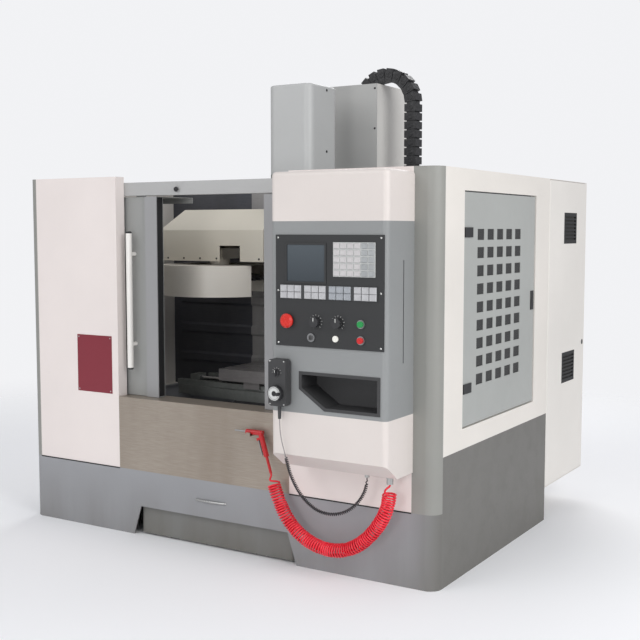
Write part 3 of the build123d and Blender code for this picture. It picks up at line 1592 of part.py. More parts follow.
def override_knob(x):
    """Add a fluted knob with its stem."""
    post(facing_operator(x, stem_y, upper_row), knob_stem_radius, stem_length + run_gap)
    with BuildSketch(facing_operator(x, board_face_y - run_gap, upper_row)) as outline:
        Circle(knob_radius)
        with PolarLocations(knob_radius + flute_radius / 2, knob_flutes):
            Circle(flute_radius, mode=Mode.SUBTRACT)
    extrude(outline.sketch, amount=knob_height)


with BuildPart() as start_button:
    push_button(upper_row)
save(start_button, "start_button")

with BuildPart() as stop_button:
    push_button(lower_row)
save(stop_button, "stop_button")

with BuildPart() as e_stop:
    post(facing_operator(stop_x, stem_y, upper_row), mushroom_stem_radius, stem_length + mushroom_gap)
    post(facing_operator(stop_x, board_face_y - mushroom_gap, upper_row), mushroom_radius, mushroom_height)
    chamfer(e_stop.edges().group_by(Axis.Y)[0], length=mushroom_height / 2)
save(e_stop, "e_stop")

with BuildPart() as key_switch:
    post(facing_operator(key_x, stem_y, lower_row), key_barrel_radius, stem_length + collar_height)
    blade_y = (board_face_y - collar_height - key_blade, board_face_y - collar_height)
    blade_x = (key_x - key_blade_thickness / 2, key_x + key_blade_thickness / 2)
    block(blade_x, blade_y, (lower_row - key_blade / 2, lower_row + key_blade / 2))
save(key_switch, "key_switch")

with BuildPart() as feed_knob:
    override_knob(feed_x)
save(feed_knob, "feed_knob")

with BuildPart() as rate_knob:
    override_knob(rate_x)
save(rate_knob, "rate_knob")

# Handwheel pendant: rounded box on a hanger plate, with a strain relief below
pendant_rear_y = pod_y - pendant_hook
pendant_face_y = pendant_rear_y - pendant_depth
pendant_mid_y = (pendant_rear_y + pendant_face_y) / 2
pendant_half = pendant_width / 2
pendant_stem_y = pendant_face_y + stem_depth
relief_foot = pendant_foot - relief_length
with BuildPart() as pendant_body:
    case_x = (pendant_x - pendant_half, pendant_x + pendant_half)
    block(case_x, (pendant_face_y, pendant_rear_y), (pendant_foot, pendant_top))
    fillet(pendant_body.edges().filter_by(Axis.Y), radius=pendant_radius)
    hanger_x = (pendant_x - pendant_half / 2, pendant_x + pendant_half / 2)
    block(hanger_x, (pendant_rear_y, pod_y), (wheel_z, selector_z))
    with Locations((pendant_x, pendant_mid_y, relief_foot)):
        Cone(lead_radius * 2, relief_radius, relief_length, align=standing)
    for bore_z in (wheel_z, selector_z):
        bore_length = stem_depth + run_gap
        bore_plane = facing_operator(pendant_x, pendant_face_y + bore_length, bore_z)
        post(bore_plane, wheel_knob_radius + fit_gap, bore_length, Mode.SUBTRACT)
save(pendant_body, "pendant_body")

with BuildPart() as pendant_wheel:
    post(facing_operator(pendant_x, pendant_stem_y, wheel_z), wheel_knob_radius, stem_depth + run_gap)
    rim_plane = facing_operator(pendant_x, pendant_face_y - run_gap, wheel_z)
    post(rim_plane, wheel_radius, wheel_height - run_gap)
    chamfer(pendant_wheel.edges().group_by(Axis.Y)[0], length=run_gap)
    crank_radius = wheel_radius - wheel_knob_radius - run_gap
    crank_plane = facing_operator(pendant_x + crank_radius, pendant_face_y - wheel_height, wheel_z)
    post(crank_plane, wheel_knob_radius, wheel_knob_height)
save(pendant_wheel, "pendant_wheel")

with BuildPart() as pendant_knob:
    post(facing_operator(pendant_x, pendant_stem_y, selector_z), wheel_knob_radius, stem_depth + run_gap)
    selector_plane = facing_operator(pendant_x, pendant_face_y - run_gap, selector_z)
    post(selector_plane, selector_radius, selector_height / 2)
    ridge_x = (pendant_x - key_blade_thickness, pendant_x + key_blade_thickness)
    ridge_y = (pendant_face_y - run_gap - selector_height, pendant_face_y - run_gap)
    block(ridge_x, ridge_y, (selector_z - selector_radius, selector_z + selector_radius))
save(pendant_knob, "pendant_knob")

# Cord gland and air coupler under the station's foot
cord_y = front_y - cord_stand
gland_x = pod_left + gland_reach
coupler_x = pod_left + coupler_reach
gland_foot = pod_foot - gland_length
coupler_foot = pod_foot - coupler_length
with BuildPart() as cord_glands:
    with Locations((gland_x, cord_y, gland_foot)):
        Cylinder(gland_radius, gland_length, align=standing)
    with Locations((coupler_x, cord_y, coupler_foot)):
        Cylinder(coupler_radius, coupler_length, align=standing)
save(cord_glands, "cord_glands")

# Cord routes, each a list of straight runs that are joined by tangent arcs
def hung_route(start, end, shares, stands, levels):
    """Points of a cord hung from start to end, by share of the way, stand from its plane and level."""
    reach = end[0] - start[0]
    rows = zip(shares, stands, levels)
    hung = [(start[0] + share * reach, cord_y + stand, level) for share, stand, level in rows]
    return (start, *hung, end)


lead_end = (pendant_x + lead_sway, pendant_mid_y + lead_swing, lead_foot)
gland_end = (gland_x, cord_y, gland_foot)
coupler_end = (coupler_x, cord_y, coupler_foot)
tail_end = (gun_x + tail_reach, cord_y + tail_stand, tail_foot)
lead_points = (
    (pendant_x, pendant_mid_y, relief_foot),
    (pendant_x, pendant_mid_y, lead_turn),
    lead_end,
)
curl_points = hung_route(lead_end, gland_end, curl_shares, curl_stands, curl_levels)
hose_points = hung_route(tail_end, coupler_end, hose_shares, hose_stands, hose_levels)


def bend_radii(route):
    """Radius at each inner point of a route: as wide as the shorter run beside it allows."""
    radii = []
    for before, here, after in zip(route, route[1:], route[2:]):
        run_in = Vector(*here) - Vector(*before)
        run_out = Vector(*after) - Vector(*here)
        half_turn = radians(run_in.get_angle(run_out)) / 2
        radii.append(bend_share * min(run_in.length, run_out.length) / tan(half_turn))
    print([round(radius) for radius in radii])
    return radii


def cord(route, radius):
    """Add a round cord along a route."""
    with BuildLine() as path:
        FilletPolyline(*route, radius=bend_radii(route))
    first_run = Vector(*route[1]) - Vector(*route[0])
    with BuildSketch(Plane(origin=route[0], z_dir=first_run)) as section:
        Circle(radius)
    sweep(section.sketch, path=path.wires()[0])
    print(round(path.wires()[0].length), round(sweep_volume(path, radius)))


def sweep_volume(path, radius):
    """Volume a cord should have from its section and length."""
    return pi * radius**2 * path.wires()[0].length


with BuildPart() as mpg_lead:
    cord(lead_points, lead_radius)
save(mpg_lead, "mpg_lead")

with BuildPart() as mpg_curl:
    cord(curl_points, curl_radius)
save(mpg_curl, "mpg_curl")

with BuildPart() as air_hose:
    cord(hose_points, hose_radius)
save(air_hose, "air_hose")

# Blow gun hung on the apron's hook: head with nozzle, slanted grip, tail to the hose and a trigger lever
gun_top = Vector(gun_x, gun_y, gun_z)
grip_run = Vector(*tail_end) - gun_top
gun_plane = Plane(origin=gun_top, x_dir=(grip_run.Z, 0, -grip_run.X), z_dir=grip_run)
lever_x = gun_radius + lever_stand
lever_top = gun_radius + lever_width
ear_gap = lever_width / 2 + fit_gap
with BuildPart() as air_gun:
    post(gun_plane, gun_radius, gun_length)
    post(gun_plane, gun_tail_radius, grip_run.length)
    head_plane = Plane(origin=(gun_x + gun_radius, gun_y, gun_z), x_dir=(0, 1, 0), z_dir=(-1, 0, 0))
    post(head_plane, gun_radius, gun_head_length + 2 * gun_radius)
    post(head_plane, nozzle_radius, gun_head_length + 2 * gun_radius + nozzle_length)
    with Locations(gun_plane):
        for turn in (-1, 1):
            ear_y = turn * (ear_gap + lever_thickness / 2)
            with Locations((lever_x / 2 + lever_thickness, ear_y, lever_top)):
                Box(lever_x + 2 * lever_thickness, lever_thickness, lever_width)
        pin_place = Location((lever_x + lever_thickness / 2, 0, lever_top), (90, 0, 0))
        with Locations(pin_place):
            Cylinder(lever_pin_radius, 2 * ear_gap + lever_thickness)
save(air_gun, "air_gun")

with BuildPart() as air_gun_lever:
    with Locations(gun_plane):
        with Locations((lever_x + lever_thickness / 2, 0, lever_top)):
            Box(lever_width, lever_width, lever_width)
        with Locations((lever_x, 0, lever_top)):
            Box(lever_thickness, lever_width, lever_length, align=(Align.MIN, Align.CENTER, Align.MIN))
        with Locations(Location((lever_x + lever_thickness / 2, 0, lever_top), (90, 0, 0))):
            Cylinder(lever_pin_radius + fit_gap, lever_width, mode=Mode.SUBTRACT)
save(air_gun_lever, "air_gun_lever")
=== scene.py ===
from math import cos, pi, radians, sin

import bmesh
import bpy
from mathutils import Matrix, Vector


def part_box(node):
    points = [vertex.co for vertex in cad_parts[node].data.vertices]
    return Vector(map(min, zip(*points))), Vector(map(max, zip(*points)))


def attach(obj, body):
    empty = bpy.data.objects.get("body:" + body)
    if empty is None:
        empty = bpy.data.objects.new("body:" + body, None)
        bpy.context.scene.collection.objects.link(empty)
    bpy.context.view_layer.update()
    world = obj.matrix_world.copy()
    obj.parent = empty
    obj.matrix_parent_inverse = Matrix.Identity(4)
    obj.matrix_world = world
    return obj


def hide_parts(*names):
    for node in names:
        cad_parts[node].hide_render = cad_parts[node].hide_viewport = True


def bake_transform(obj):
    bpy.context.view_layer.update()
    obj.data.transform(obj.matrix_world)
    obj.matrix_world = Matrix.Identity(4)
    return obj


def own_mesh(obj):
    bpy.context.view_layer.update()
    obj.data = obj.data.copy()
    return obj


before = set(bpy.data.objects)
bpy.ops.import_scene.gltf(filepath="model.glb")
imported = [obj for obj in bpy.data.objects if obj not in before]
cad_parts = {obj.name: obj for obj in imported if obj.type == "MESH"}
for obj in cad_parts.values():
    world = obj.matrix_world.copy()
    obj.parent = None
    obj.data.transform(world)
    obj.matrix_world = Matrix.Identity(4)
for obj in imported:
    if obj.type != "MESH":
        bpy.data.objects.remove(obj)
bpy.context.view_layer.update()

# Studio: the machine stands on a pale seamless floor under four soft lamps.
# The camera stands right of the front, a little below the guard's top edge.
scene = bpy.context.scene
scene.view_settings.view_transform = "Standard"


def add_object(name, data):
    """Link a new object to the scene."""
    made = bpy.data.objects.new(name, data)
    scene.collection.objects.link(made)
    return made


camera_data = bpy.data.cameras.new("camera")
camera_data.lens = 59.0
camera_data.sensor_width = 36.0
scene.camera = add_object("camera", camera_data)
scene.camera.location = (3.2142, -5.0244, 1.6204)
scene.camera.rotation_euler = (radians(90 - 4.9), 0, radians(31.6))

for lamp_name, place, aim, size, power in (
    ("key_light", (-2.2, -5.6, 4.8), (0, 0, 1.1), 4.2, 105),
    ("fill_light", (6.0, -2.4, 3.6), (0.6, 0, 1.2), 4.0, 215),
    ("front_light", (1.0, -6.0, 1.3), (-0.5, 0, 1.15), 1.4, 48),
    ("back_light", (-1.6, 5.4, 4.6), (0, 0.4, 1.4), 3.8, 170),
):
    lamp_data = bpy.data.lights.new(lamp_name, "AREA")
    lamp_data.size = size
    lamp_data.energy = power
    lamp = add_object(lamp_name, lamp_data)
    lamp.location = place
    lamp.rotation_euler = (Vector(aim) - Vector(place)).to_track_quat("-Z", "Y").to_euler()

scene.world = bpy.data.worlds.new("studio")
scene.world.use_nodes = True
sky, sky_links = scene.world.node_tree.nodes, scene.world.node_tree.links
lit_sky, seen_sky = sky["Background"], sky.new("ShaderNodeBackground")
lit_sky.inputs["Color"].default_value = (0.95, 0.96, 1.0, 1)
lit_sky.inputs["Strength"].default_value = 0.52
seen_sky.inputs["Color"].default_value = (0.885, 0.89, 0.91, 1)
light_path, sky_mix = sky.new("ShaderNodeLightPath"), sky.new("ShaderNodeMixShader")
sky_links.new(light_path.outputs["Is Camera Ray"], sky_mix.inputs[0])
sky_links.new(lit_sky.outputs[0], sky_mix.inputs[1])
sky_links.new(seen_sky.outputs[0], sky_mix.inputs[2])
sky_links.new(sky_mix.outputs[0], sky["World Output"].inputs["Surface"])


class Value:
    """A shader socket that takes part in sums, for numbers that vary over a surface."""

    def __init__(self, finish, socket):
        self.finish = finish
        self.socket = socket

    def math(self, operation, other, swapped=False):
        pair = (other, self) if swapped else (self, other)
        return self.finish.node("ShaderNodeMath", {"operation": operation}, dict(enumerate(pair)))

    def __add__(self, other):
        return self.math("ADD", other)

    def __radd__(self, other):
        return self.math("ADD", other, True)

    def __sub__(self, other):
        return self.math("SUBTRACT", other)

    def __rsub__(self, other):
        return self.math("SUBTRACT", other, True)

    def __mul__(self, other):
        return self.math("MULTIPLY", other)

    def __gt__(self, other):
        return self.math("GREATER_THAN", other)

    def __lt__(self, other):
        return self.math("LESS_THAN", other)

    def between(self, low, high):
        """This value carried from low..high to 0..1 and held there."""
        return self.finish.node("ShaderNodeMapRange", {"clamp": True}, {"Value": self, 1: low, 2: high})


class Finish:
    """One procedural finish: a Principled shader and the nodes that vary it."""

    def __init__(self, name, **steady):
        self.material = bpy.data.materials.new(name)
        self.material.use_nodes = True
        self.tree = self.material.node_tree
        self.shader = self.tree.nodes["Principled BSDF"]
        self.object_place = self.node("ShaderNodeTexCoord", out="Object")
        self.set(**steady)

    def node(self, kind, settings=(), sockets=(), out=0):
        made = self.tree.nodes.new(kind)
        for label, setting in dict(settings).items():
            setattr(made, label, setting)
        for label, amount in dict(sockets).items():
            self.feed(made.inputs[label], amount)
        return Value(self, made.outputs[out])

    def feed(self, socket, amount):
        if isinstance(amount, Value):
            self.tree.links.new(amount.socket, socket)
        else:
            socket.default_value = amount

    def set(self, **given):
        """Feed the shader's inputs, each by its name with _ for a space."""
        for label, amount in given.items():
            self.feed(self.shader.inputs[label.replace("_", " ")], amount)
        return self

    def blend(self, share, first, second):
        return self.node("ShaderNodeMix", {"data_type": "RGBA"}, {0: share, 6: first, 7: second}, out=2)

    def paint(self, share, first, second):
        """Colour the surface from one colour to another, by a share that varies."""
        return self.set(Base_Color=self.blend(share, first, second))

    def over(self, share, colour):
        """Lay a colour over what is there, by a share that varies."""
        return self.paint(share, Value(self, self.shader.inputs["Base Color"].links[0].from_socket), colour)

    def relief(self, height, distance, strength):
        """Bump the surface by a height that varies."""
        sockets = {"Height": height, "Distance": distance, "Strength": strength}
        return self.set(Normal=self.node("ShaderNodeBump", {}, sockets, out="Normal"))

    def spots(self, scale, detail=3.0, stretch=(1, 1, 1), roughness=0.5):
        """Noise over the surface; stretch draws it out along an axis."""
        place = self.node("ShaderNodeMapping", {}, {"Vector": self.object_place, "Scale": stretch})
        sockets = {"Vector": place, "Scale": scale, "Detail": detail, "Roughness": roughness}
        return self.node("ShaderNodeTexNoise", {}, sockets)

    def axis(self, label):
        """The surface point's place along one axis, in metres."""
        return self.node("ShaderNodeSeparateXYZ", {}, {0: self.object_place}, out=label)


floor_mesh = bpy.data.meshes.new("floor")
floor_mesh.from_pydata([(-30, -30, 0), (30, -30, 0), (30, 30, 0), (-30, 30, 0)], [], [(0, 1, 2, 3)])
floor = add_object("floor", floor_mesh)
floor_finish = Finish("floor_finish", Base_Color=(0.92, 0.925, 0.94, 1), Roughness=0.9)
floor_place = {0: floor_finish.object_place}
floor_reach = floor_finish.node("ShaderNodeVectorMath", {"operation": "LENGTH"}, floor_place, out="Value")
fade_range = {0: floor_reach, 1: 2.2, 2: 6.5, 3: 1.0, 4: 0.0}
floor_fade = floor_finish.node("ShaderNodeMapRange", {"interpolation_type": "SMOOTHSTEP"}, fade_range)
floor_finish.set(Alpha=floor_fade)
floor_mesh.materials.append(floor_finish.material)


# Base plinth: a folded and welded steel skirt with a chip pan and a fork-lift notch, bolted under the guards.
# It is powder coated in mid grey, with dust towards the floor; its right end is painted darker, a painted
# shade.
def tone(red, green, blue):
    """A screen colour in 0..255 as the linear colour that a shader takes."""
    channels = [c / 255 for c in (red, green, blue)]
    return tuple(c / 12.92 if c <= 0.04045 else ((c + 0.055) / 1.055) ** 2.4 for c in channels) + (1.0,)


def shade(colour, share):
    """A colour made lighter or darker by a share."""
    return tuple(min(1.0, c * share) for c in colour[:3]) + (1.0,)


def powder_coat(name, colour, dust=0.0, rough=0.42):
    """Baked powder coat: fine orange peel, faint cloudiness, handling marks and dust near the floor."""
    coat = Finish(name)
    cloud = coat.spots(1.7, 5.0).between(0.3, 0.7)
    speck = coat.spots(160.0, 2.0)
    coat.paint(cloud, shade(colour, 0.955), shade(colour, 1.03))
    coat.over((speck > 0.7) * 0.18, shade(colour, 0.8))
    if dust:
        low = 1 - coat.axis("Z").between(0.0, 0.34)
        streaks = coat.spots(5.0, 4.0, (1.0, 1.0, 0.18)).between(0.35, 0.75)
        coat.over(low * (0.35 + streaks * 0.65) * dust, tone(92, 86, 76))
    marks = coat.spots(9.0, 6.0, (1, 1, 1), 0.65).between(0.45, 0.75)
    coat.set(Roughness=rough + marks * 0.12 + speck * 0.05)
    return coat.relief(coat.spots(420.0, 2.0), 0.0004, 0.35)


def wear(finish, *nodes):
    """Give CAD nodes a finish."""
    for node in nodes:
        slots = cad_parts[node].data.materials
        slots.clear()
        slots.append(finish.material)


base_grey = powder_coat("base_grey", tone(150, 151, 154), dust=0.55, rough=0.48)
# Painted shade: the plinth's right end, its right side face most of all, is darkened towards a brown-grey.
base_grey.over(base_grey.axis("X").between(1.12, 1.26) * 0.9, tone(104, 102, 97))
wear(base_grey, "base_plinth")


# Plinth edging: a rubber lip in the joint between the plinth and the front guards, which keeps coolant in.
# It is soft and black, and is pushed over the sheet edge.
def cage_mesh(name, build):
    """A mesh with the faces that build makes, all facing outwards."""
    cage = bmesh.new()
    build(cage)
    bmesh.ops.recalc_face_normals(cage, faces=cage.faces)
    mesh = bpy.data.meshes.new(name)
    cage.to_mesh(mesh)
    cage.free()
    return mesh


def mesh_piece(name, build, finish, body, bevel=0.0):
    """A new piece in the machine's frame: its faces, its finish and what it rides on."""
    piece = add_object(name, cage_mesh(name, build))
    piece.data.materials.append(finish.material)
    if bevel:
        round_off = piece.modifiers.new("round_off", "BEVEL")
        round_off.width = bevel
        round_off.segments = 2
        round_off.limit_method = "ANGLE"
    if body:
        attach(piece, body)
    return piece


def boxes(*corner_pairs):
    """Faces of boxes, each between its two corners."""
    def build(cage):
        for low, high in corner_pairs:
            for corner in bmesh.ops.create_cube(cage, size=1.0)["verts"]:
                for axis in range(3):
                    middle, width = (low[axis] + high[axis]) / 2, high[axis] - low[axis]
                    corner.co[axis] = middle + corner.co[axis] * width
    return build


def moulded(
    name, first, second, scale, rough, detail=2.0, patch=None, share=1.0, grain=0, relief=(), **steady
):
    """A moulded or printed skin that drifts between two colours. rough is its roughness at the first colour
    and what the second adds, patch sharpens the drift, share limits it, and relief is the bump's distance
    and strength, of the drift itself or of a finer grain."""
    skin = Finish(name, **steady)
    drift = skin.spots(scale, detail)
    if patch:
        drift = drift.between(*patch)
    skin.paint(drift * share, first, second).set(Roughness=rough[0] + drift * rough[1])
    if relief:
        skin.relief(skin.spots(grain, 2.0) if grain else drift, *relief)
    return skin


soot = tone(30, 30, 31)
black_rubber = moulded(
    "black_rubber", soot, shade(soot, 1.9), scale=22.0, detail=4.0, rough=(0.72, 0.16), patch=(0.4, 0.8),
    share=0.4, grain=300.0, relief=(0.0003, 0.4),
)
front_face, base_top, lip, lip_thick, lip_gap = -0.859, 0.349, 0.004, 0.0025, 0.0002
lips = [
    ((left, front_face - lip_thick, base_top - lip), (right, front_face - lip_gap, base_top + lip / 2))
    for left, right in ((-1.198, -0.611), (0.477, 1.135))
]
mesh_piece("plinth_edging", boxes(*lips), black_rubber, "frame", bevel=0.0008)

# Coolant tank: a welded tray that stands on the floor behind the notch and slides out on its pull handle.
# It is painted like the plinth; the handle is a plated steel bar on two welded feet.
wear(powder_coat("tank_paint", tone(126, 127, 125), dust=0.8, rough=0.5), "coolant_tank")


def join_rows(cage, rows):
    """Add the faces between closed rows of as many points."""
    for row, after in zip(rows, rows[1:]):
        for k in range(len(row)):
            nxt = (k + 1) % len(row)
            cage.faces.new((row[k], row[nxt], after[nxt], after[k]))


def bow_bar(cage, start, end, out, radius, steps=8, sides=8):
    """Add a round bar that bows out from its two feet."""
    start, end, out = Vector(start), Vector(end), Vector(out)
    shares = [step / steps for step in range(steps + 1)]
    arch = [start.lerp(end, 0.1 + 0.8 * share) + out * (0.86 + 0.14 * sin(pi * share)) for share in shares]
    points = [start, *arch, end]
    rings = []
    for index, point in enumerate(points):
        ahead = points[min(index + 1, len(points) - 1)] - points[max(index - 1, 0)]
        turn = ahead.to_track_quat("Z", "Y")
        angles = [2 * pi * side / sides for side in range(sides)]
        spokes = [Vector((radius * cos(angle), radius * sin(angle), 0)) for angle in angles]
        rings.append([cage.verts.new(point + turn @ spoke) for spoke in spokes])
    join_rows(cage, rings)
    cage.faces.new(rings[0])
    cage.faces.new(rings[-1])


handle_reach, handle_z, foot_half = 0.11, 0.245, 0.014
tank_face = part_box("coolant_tank")[0].y + 0.012


def tank_handle(cage):
    ends = [(side * handle_reach, tank_face, handle_z) for side in (-1, 1)]
    bow_bar(cage, *ends, out=(0, -0.034, 0), radius=0.006)
    boxes(*(
        ((x - foot_half, y - 0.004, z - foot_half), (x + foot_half, y, z + foot_half)) for x, y, z in ends
    ))(cage)


def satin_metal(name, colour, rough=0.3, lines=(1, 1, 1)):
    """Machined or plated metal with fine tool lines and a little staining."""
    metal = Finish(name, Metallic=1.0)
    grain = metal.spots(240.0, 3.0, lines)
    stain = metal.spots(5.0, 4.0).between(0.35, 0.8)
    metal.paint(stain * 0.35, colour, shade(colour, 0.72)).relief(grain, 0.0003, 0.25)
    return metal.set(Roughness=rough - 0.06 + grain * 0.12 + stain * 0.1)


plated_steel = satin_metal("plated_steel", tone(188, 188, 186), 0.28)
mesh_piece("tank_handle", tank_handle, plated_steel, "frame", bevel=0.001)

# Curled handwheel cord: a dark polyurethane cord that leaves the pendant straight, springs into a curl,
# hangs in a loop in front of the station's foot and goes up into its gland.
cord_route = [
    (0.610, -1.139, 0.773), (0.610, -1.139, 0.706), (0.636, -1.130, 0.602), (0.660, -1.1216923, 0.506),
    (0.704, -1.098, 0.414), (0.768, -1.067, 0.350), (0.840, -1.033, 0.337), (0.898, -1.003, 0.360),
    (0.940, -0.975, 0.410), (0.962, -0.959, 0.470), (0.962, -0.959, 0.513),
]
KNOT_RADIUS = 0.001


def spline_curve(name, points, radius, detail=4):
    """A round cord on a smooth curve with these control points."""
    curve = bpy.data.curves.new(name, "CURVE")
    curve.dimensions = "3D"
    line = curve.splines.new("NURBS")
    line.points.add(len(points) - 1)
    for knot, point in zip(line.points, points):
        knot.co = (*point, 1)
        knot.radius = KNOT_RADIUS
    line.order_u = 3
    line.use_endpoint_u = True
    line.resolution_u = detail
    curve.bevel_depth = radius / KNOT_RADIUS
    curve.bevel_resolution = 2
    curve.use_fill_caps = True
    return add_object(name, curve)


def read_line(piece):
    """The points that a cord's own line passes through, and their distance along it."""
    depth, piece.data.bevel_depth = piece.data.bevel_depth, 0.0
    graph = bpy.context.evaluated_depsgraph_get()
    mesh = bpy.data.meshes.new_from_object(piece.evaluated_get(graph))
    piece.data.bevel_depth = depth
    line = [v.co.copy() for v in mesh.vertices]
    bpy.data.meshes.remove(mesh)
    run = [0.0]
    for here, after in zip(line, line[1:]):
        run.append(run[-1] + (after - here).length)
    return line, run


def read_route(points):
    """The line and distances of a route that is drawn only to be read."""
    guide = spline_curve("route", points, 0.0, detail=24)
    line, run = read_line(guide)
    bpy.data.objects.remove(guide)
    return line, run


def helix(points, coil, pitch, start, lead_in, lead_out, per_turn=14, sag=0.0):
    """Turns round a route's line: straight up to start, opened over lead_in and closed over lead_out.
    The opening turns are drawn out, so that they bend less than they would at the full pitch.
    A sag above 0 makes the coil's width and pitch a little uneven, in three waves along it."""
    slow_wave, fast_wave, pitch_wave, end_gap = 41.0, 97.0, 57.0, 0.004
    line, run = read_route(points)
    total = run[-1]
    straight = [point for point, far in zip(line, run) if far < start]
    turns = straight[:: max(1, len(line) // 60)] or [Vector(points[0])]
    side = Vector((0, 1, 0))
    closest = pitch / (2 * pi)
    at, angle, index = start + pitch / per_turn, 0.0, 0
    while at < total - end_gap:
        while run[index + 1] < at:
            index += 1
        share = (at - run[index]) / (run[index + 1] - run[index])
        middle = line[index].lerp(line[index + 1], share)
        ahead = (line[index + 1] - line[index]).normalized()
        across = ahead.cross(side).normalized()
        upward = across.cross(ahead)
        open_share = min(1.0, (at - start) / lead_in, (total - at) / lead_out)
        opened = coil * open_share * open_share * (3 - 2 * open_share)
        wobble = 1 + sag * (sin(at * slow_wave) + sin(at * fast_wave + 1.3)) / 2
        turns.append(middle + (across * cos(angle) + upward * sin(angle)) * opened * min(1.0, wobble))
        rise = max(closest, (opened * (coil - opened)) ** 0.5)
        angle += 2 * pi / per_turn
        at += 2 * pi * rise / per_turn * (1 + sag * 1.6 * sin(at * pitch_wave))
    turns.append(Vector(points[-1]))
    return turns


def hang_cord(name, turns, radius, finish, slot, replaced, **ends):
    """Draw a cord on its turns in a finish, hang it on the frame and hide the CAD parts it replaces."""
    piece = spline_curve(name, turns, radius)
    piece.data.materials.append(finish.material)
    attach(piece, "frame")
    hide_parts(*replaced)
    length = read_line(piece)[1][-1]


cord_jacket = Finish("cord_jacket")
# Painted highlight: the straight lead above the curl is painted light grey, standing in for the sheen along
# it.
lead_highlight = cord_jacket.axis("Z").between(0.585, 0.625)
scuff = cord_jacket.spots(60.0, 3.0).between(0.45, 0.75)
cord_jacket.paint(lead_highlight, tone(44, 40, 44), tone(150, 144, 144)).over(scuff * 0.25, tone(120, 112, 112))
cord_jacket.set(Roughness=0.4 + scuff * 0.2)
cord_turns = helix(cord_route, coil=0.0062, pitch=0.0086, start=0.165, lead_in=0.02, lead_out=0.045)
cord_ends = {"exit": cord_route[0], "far_end": "object"}
hang_cord("curled_cord", cord_turns, 0.0026, cord_jacket, "cord_grey", ("mpg_lead", "mpg_curl"), **cord_ends)

# Recoil air hose: clear red polyurethane tube wound in a long coil, from the coupler under the station
# to the blow gun on the apron. Its turns hang a little unevenly under their own weight.
hose_route = [
    (1.078, -0.959, 0.495), (1.078, -0.959, 0.440), (1.056, -0.959, 0.352), (0.994, -0.9595, 0.258),
    (0.908, -0.960, 0.180), (0.800, -0.960, 0.142), (0.676, -0.959, 0.153), (0.562, -0.955, 0.214),
    (0.4715, -0.9459, 0.3283), (0.412, -0.920, 0.455),
]
hose_skin = moulded(
    "hose_skin", tone(214, 20, 40), tone(244, 52, 70), scale=14.0, detail=3.0, rough=(0.2, 0.1),
    patch=(0.3, 0.7), IOR=1.5, Subsurface_Weight=0.25, Subsurface_Radius=(0.02, 0.004, 0.004),
)
hose_turns = helix(
    hose_route, coil=0.0292, pitch=0.0128, start=0.0, lead_in=0.045, lead_out=0.06, per_turn=16, sag=0.06
)
blow_gun = [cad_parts["air_gun"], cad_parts["air_gun_lever"]]
hose_ends = {"exit": hose_route[0], "far_end": "tool", "with_pieces": blow_gun}
hang_cord("air_hose_coil", hose_turns, 0.0046, hose_skin, "hose_red", ("air_hose",), **hose_ends)

# Castings and screws: bed, column, saddle and head of grey iron, with a sand-cast skin under machine enamel.
# The ball screws are ground bearing steel with a film of oil and run in bearings at both ends.
enamel = Finish("casting_enamel")
skin_height = enamel.spots(55.0, 5.0, (1, 1, 1), 0.6)
oil_run = enamel.spots(4.0, 4.0, (1.0, 1.0, 0.25)).between(0.45, 0.8)
enamel.paint(skin_height.between(0.3, 0.7), tone(128, 131, 128), tone(141, 144, 141))
enamel.over(oil_run * 0.4, tone(84, 82, 76)).relief(skin_height, 0.0018, 0.5)
enamel.set(Roughness=0.46 + skin_height * 0.2)
wear(enamel, "bed_casting", "column_casting", "saddle", "head_casting", "magazine_bracket")
for steel_name, screw, lines in (
    ("ground_steel", "x_screw", (0.12, 4.0, 4.0)),
    ("ground_steel_y", "y_screw", (4.0, 0.12, 4.0)),
    ("ground_steel_z", "z_screw", (4.0, 4.0, 0.12)),
):
    wear(satin_metal(steel_name, tone(176, 177, 179), 0.24, lines), screw)


# Column bolts: hex cap screws on washers, which hold the column foot on the bed.
# They are blackened steel; every one is the same screw, set by its place and the way its head points.
def turned(cage, profile, steps=12):
    """Turn a profile of radius and height round the Z axis into a closed skin."""
    angles = [2 * pi * step / steps for step in range(steps)]
    rings = []
    for radius, height in profile:
        turns = angles if radius else angles[:1]
        rings.append([cage.verts.new((radius * cos(angle), radius * sin(angle), height)) for angle in turns])
    for low, high in zip(rings, rings[1:]):
        for step in range(steps):
            nxt = (step + 1) % steps
            corners = [row[k % len(row)] for row, k in ((low, step), (low, nxt), (high, nxt), (high, step))]
            unique = list(dict.fromkeys(corners))
            if len(unique) > 2:
                cage.faces.new(unique)


def template(name, build):
    """A small part at the origin, pointing up, that is set in many places."""
    return bpy.data.objects.new(name, cage_mesh(name, build))


def turned_part(name, profile, steps=12):
    """A template turned from a profile."""
    return template(name, lambda cage: turned(cage, profile, steps))


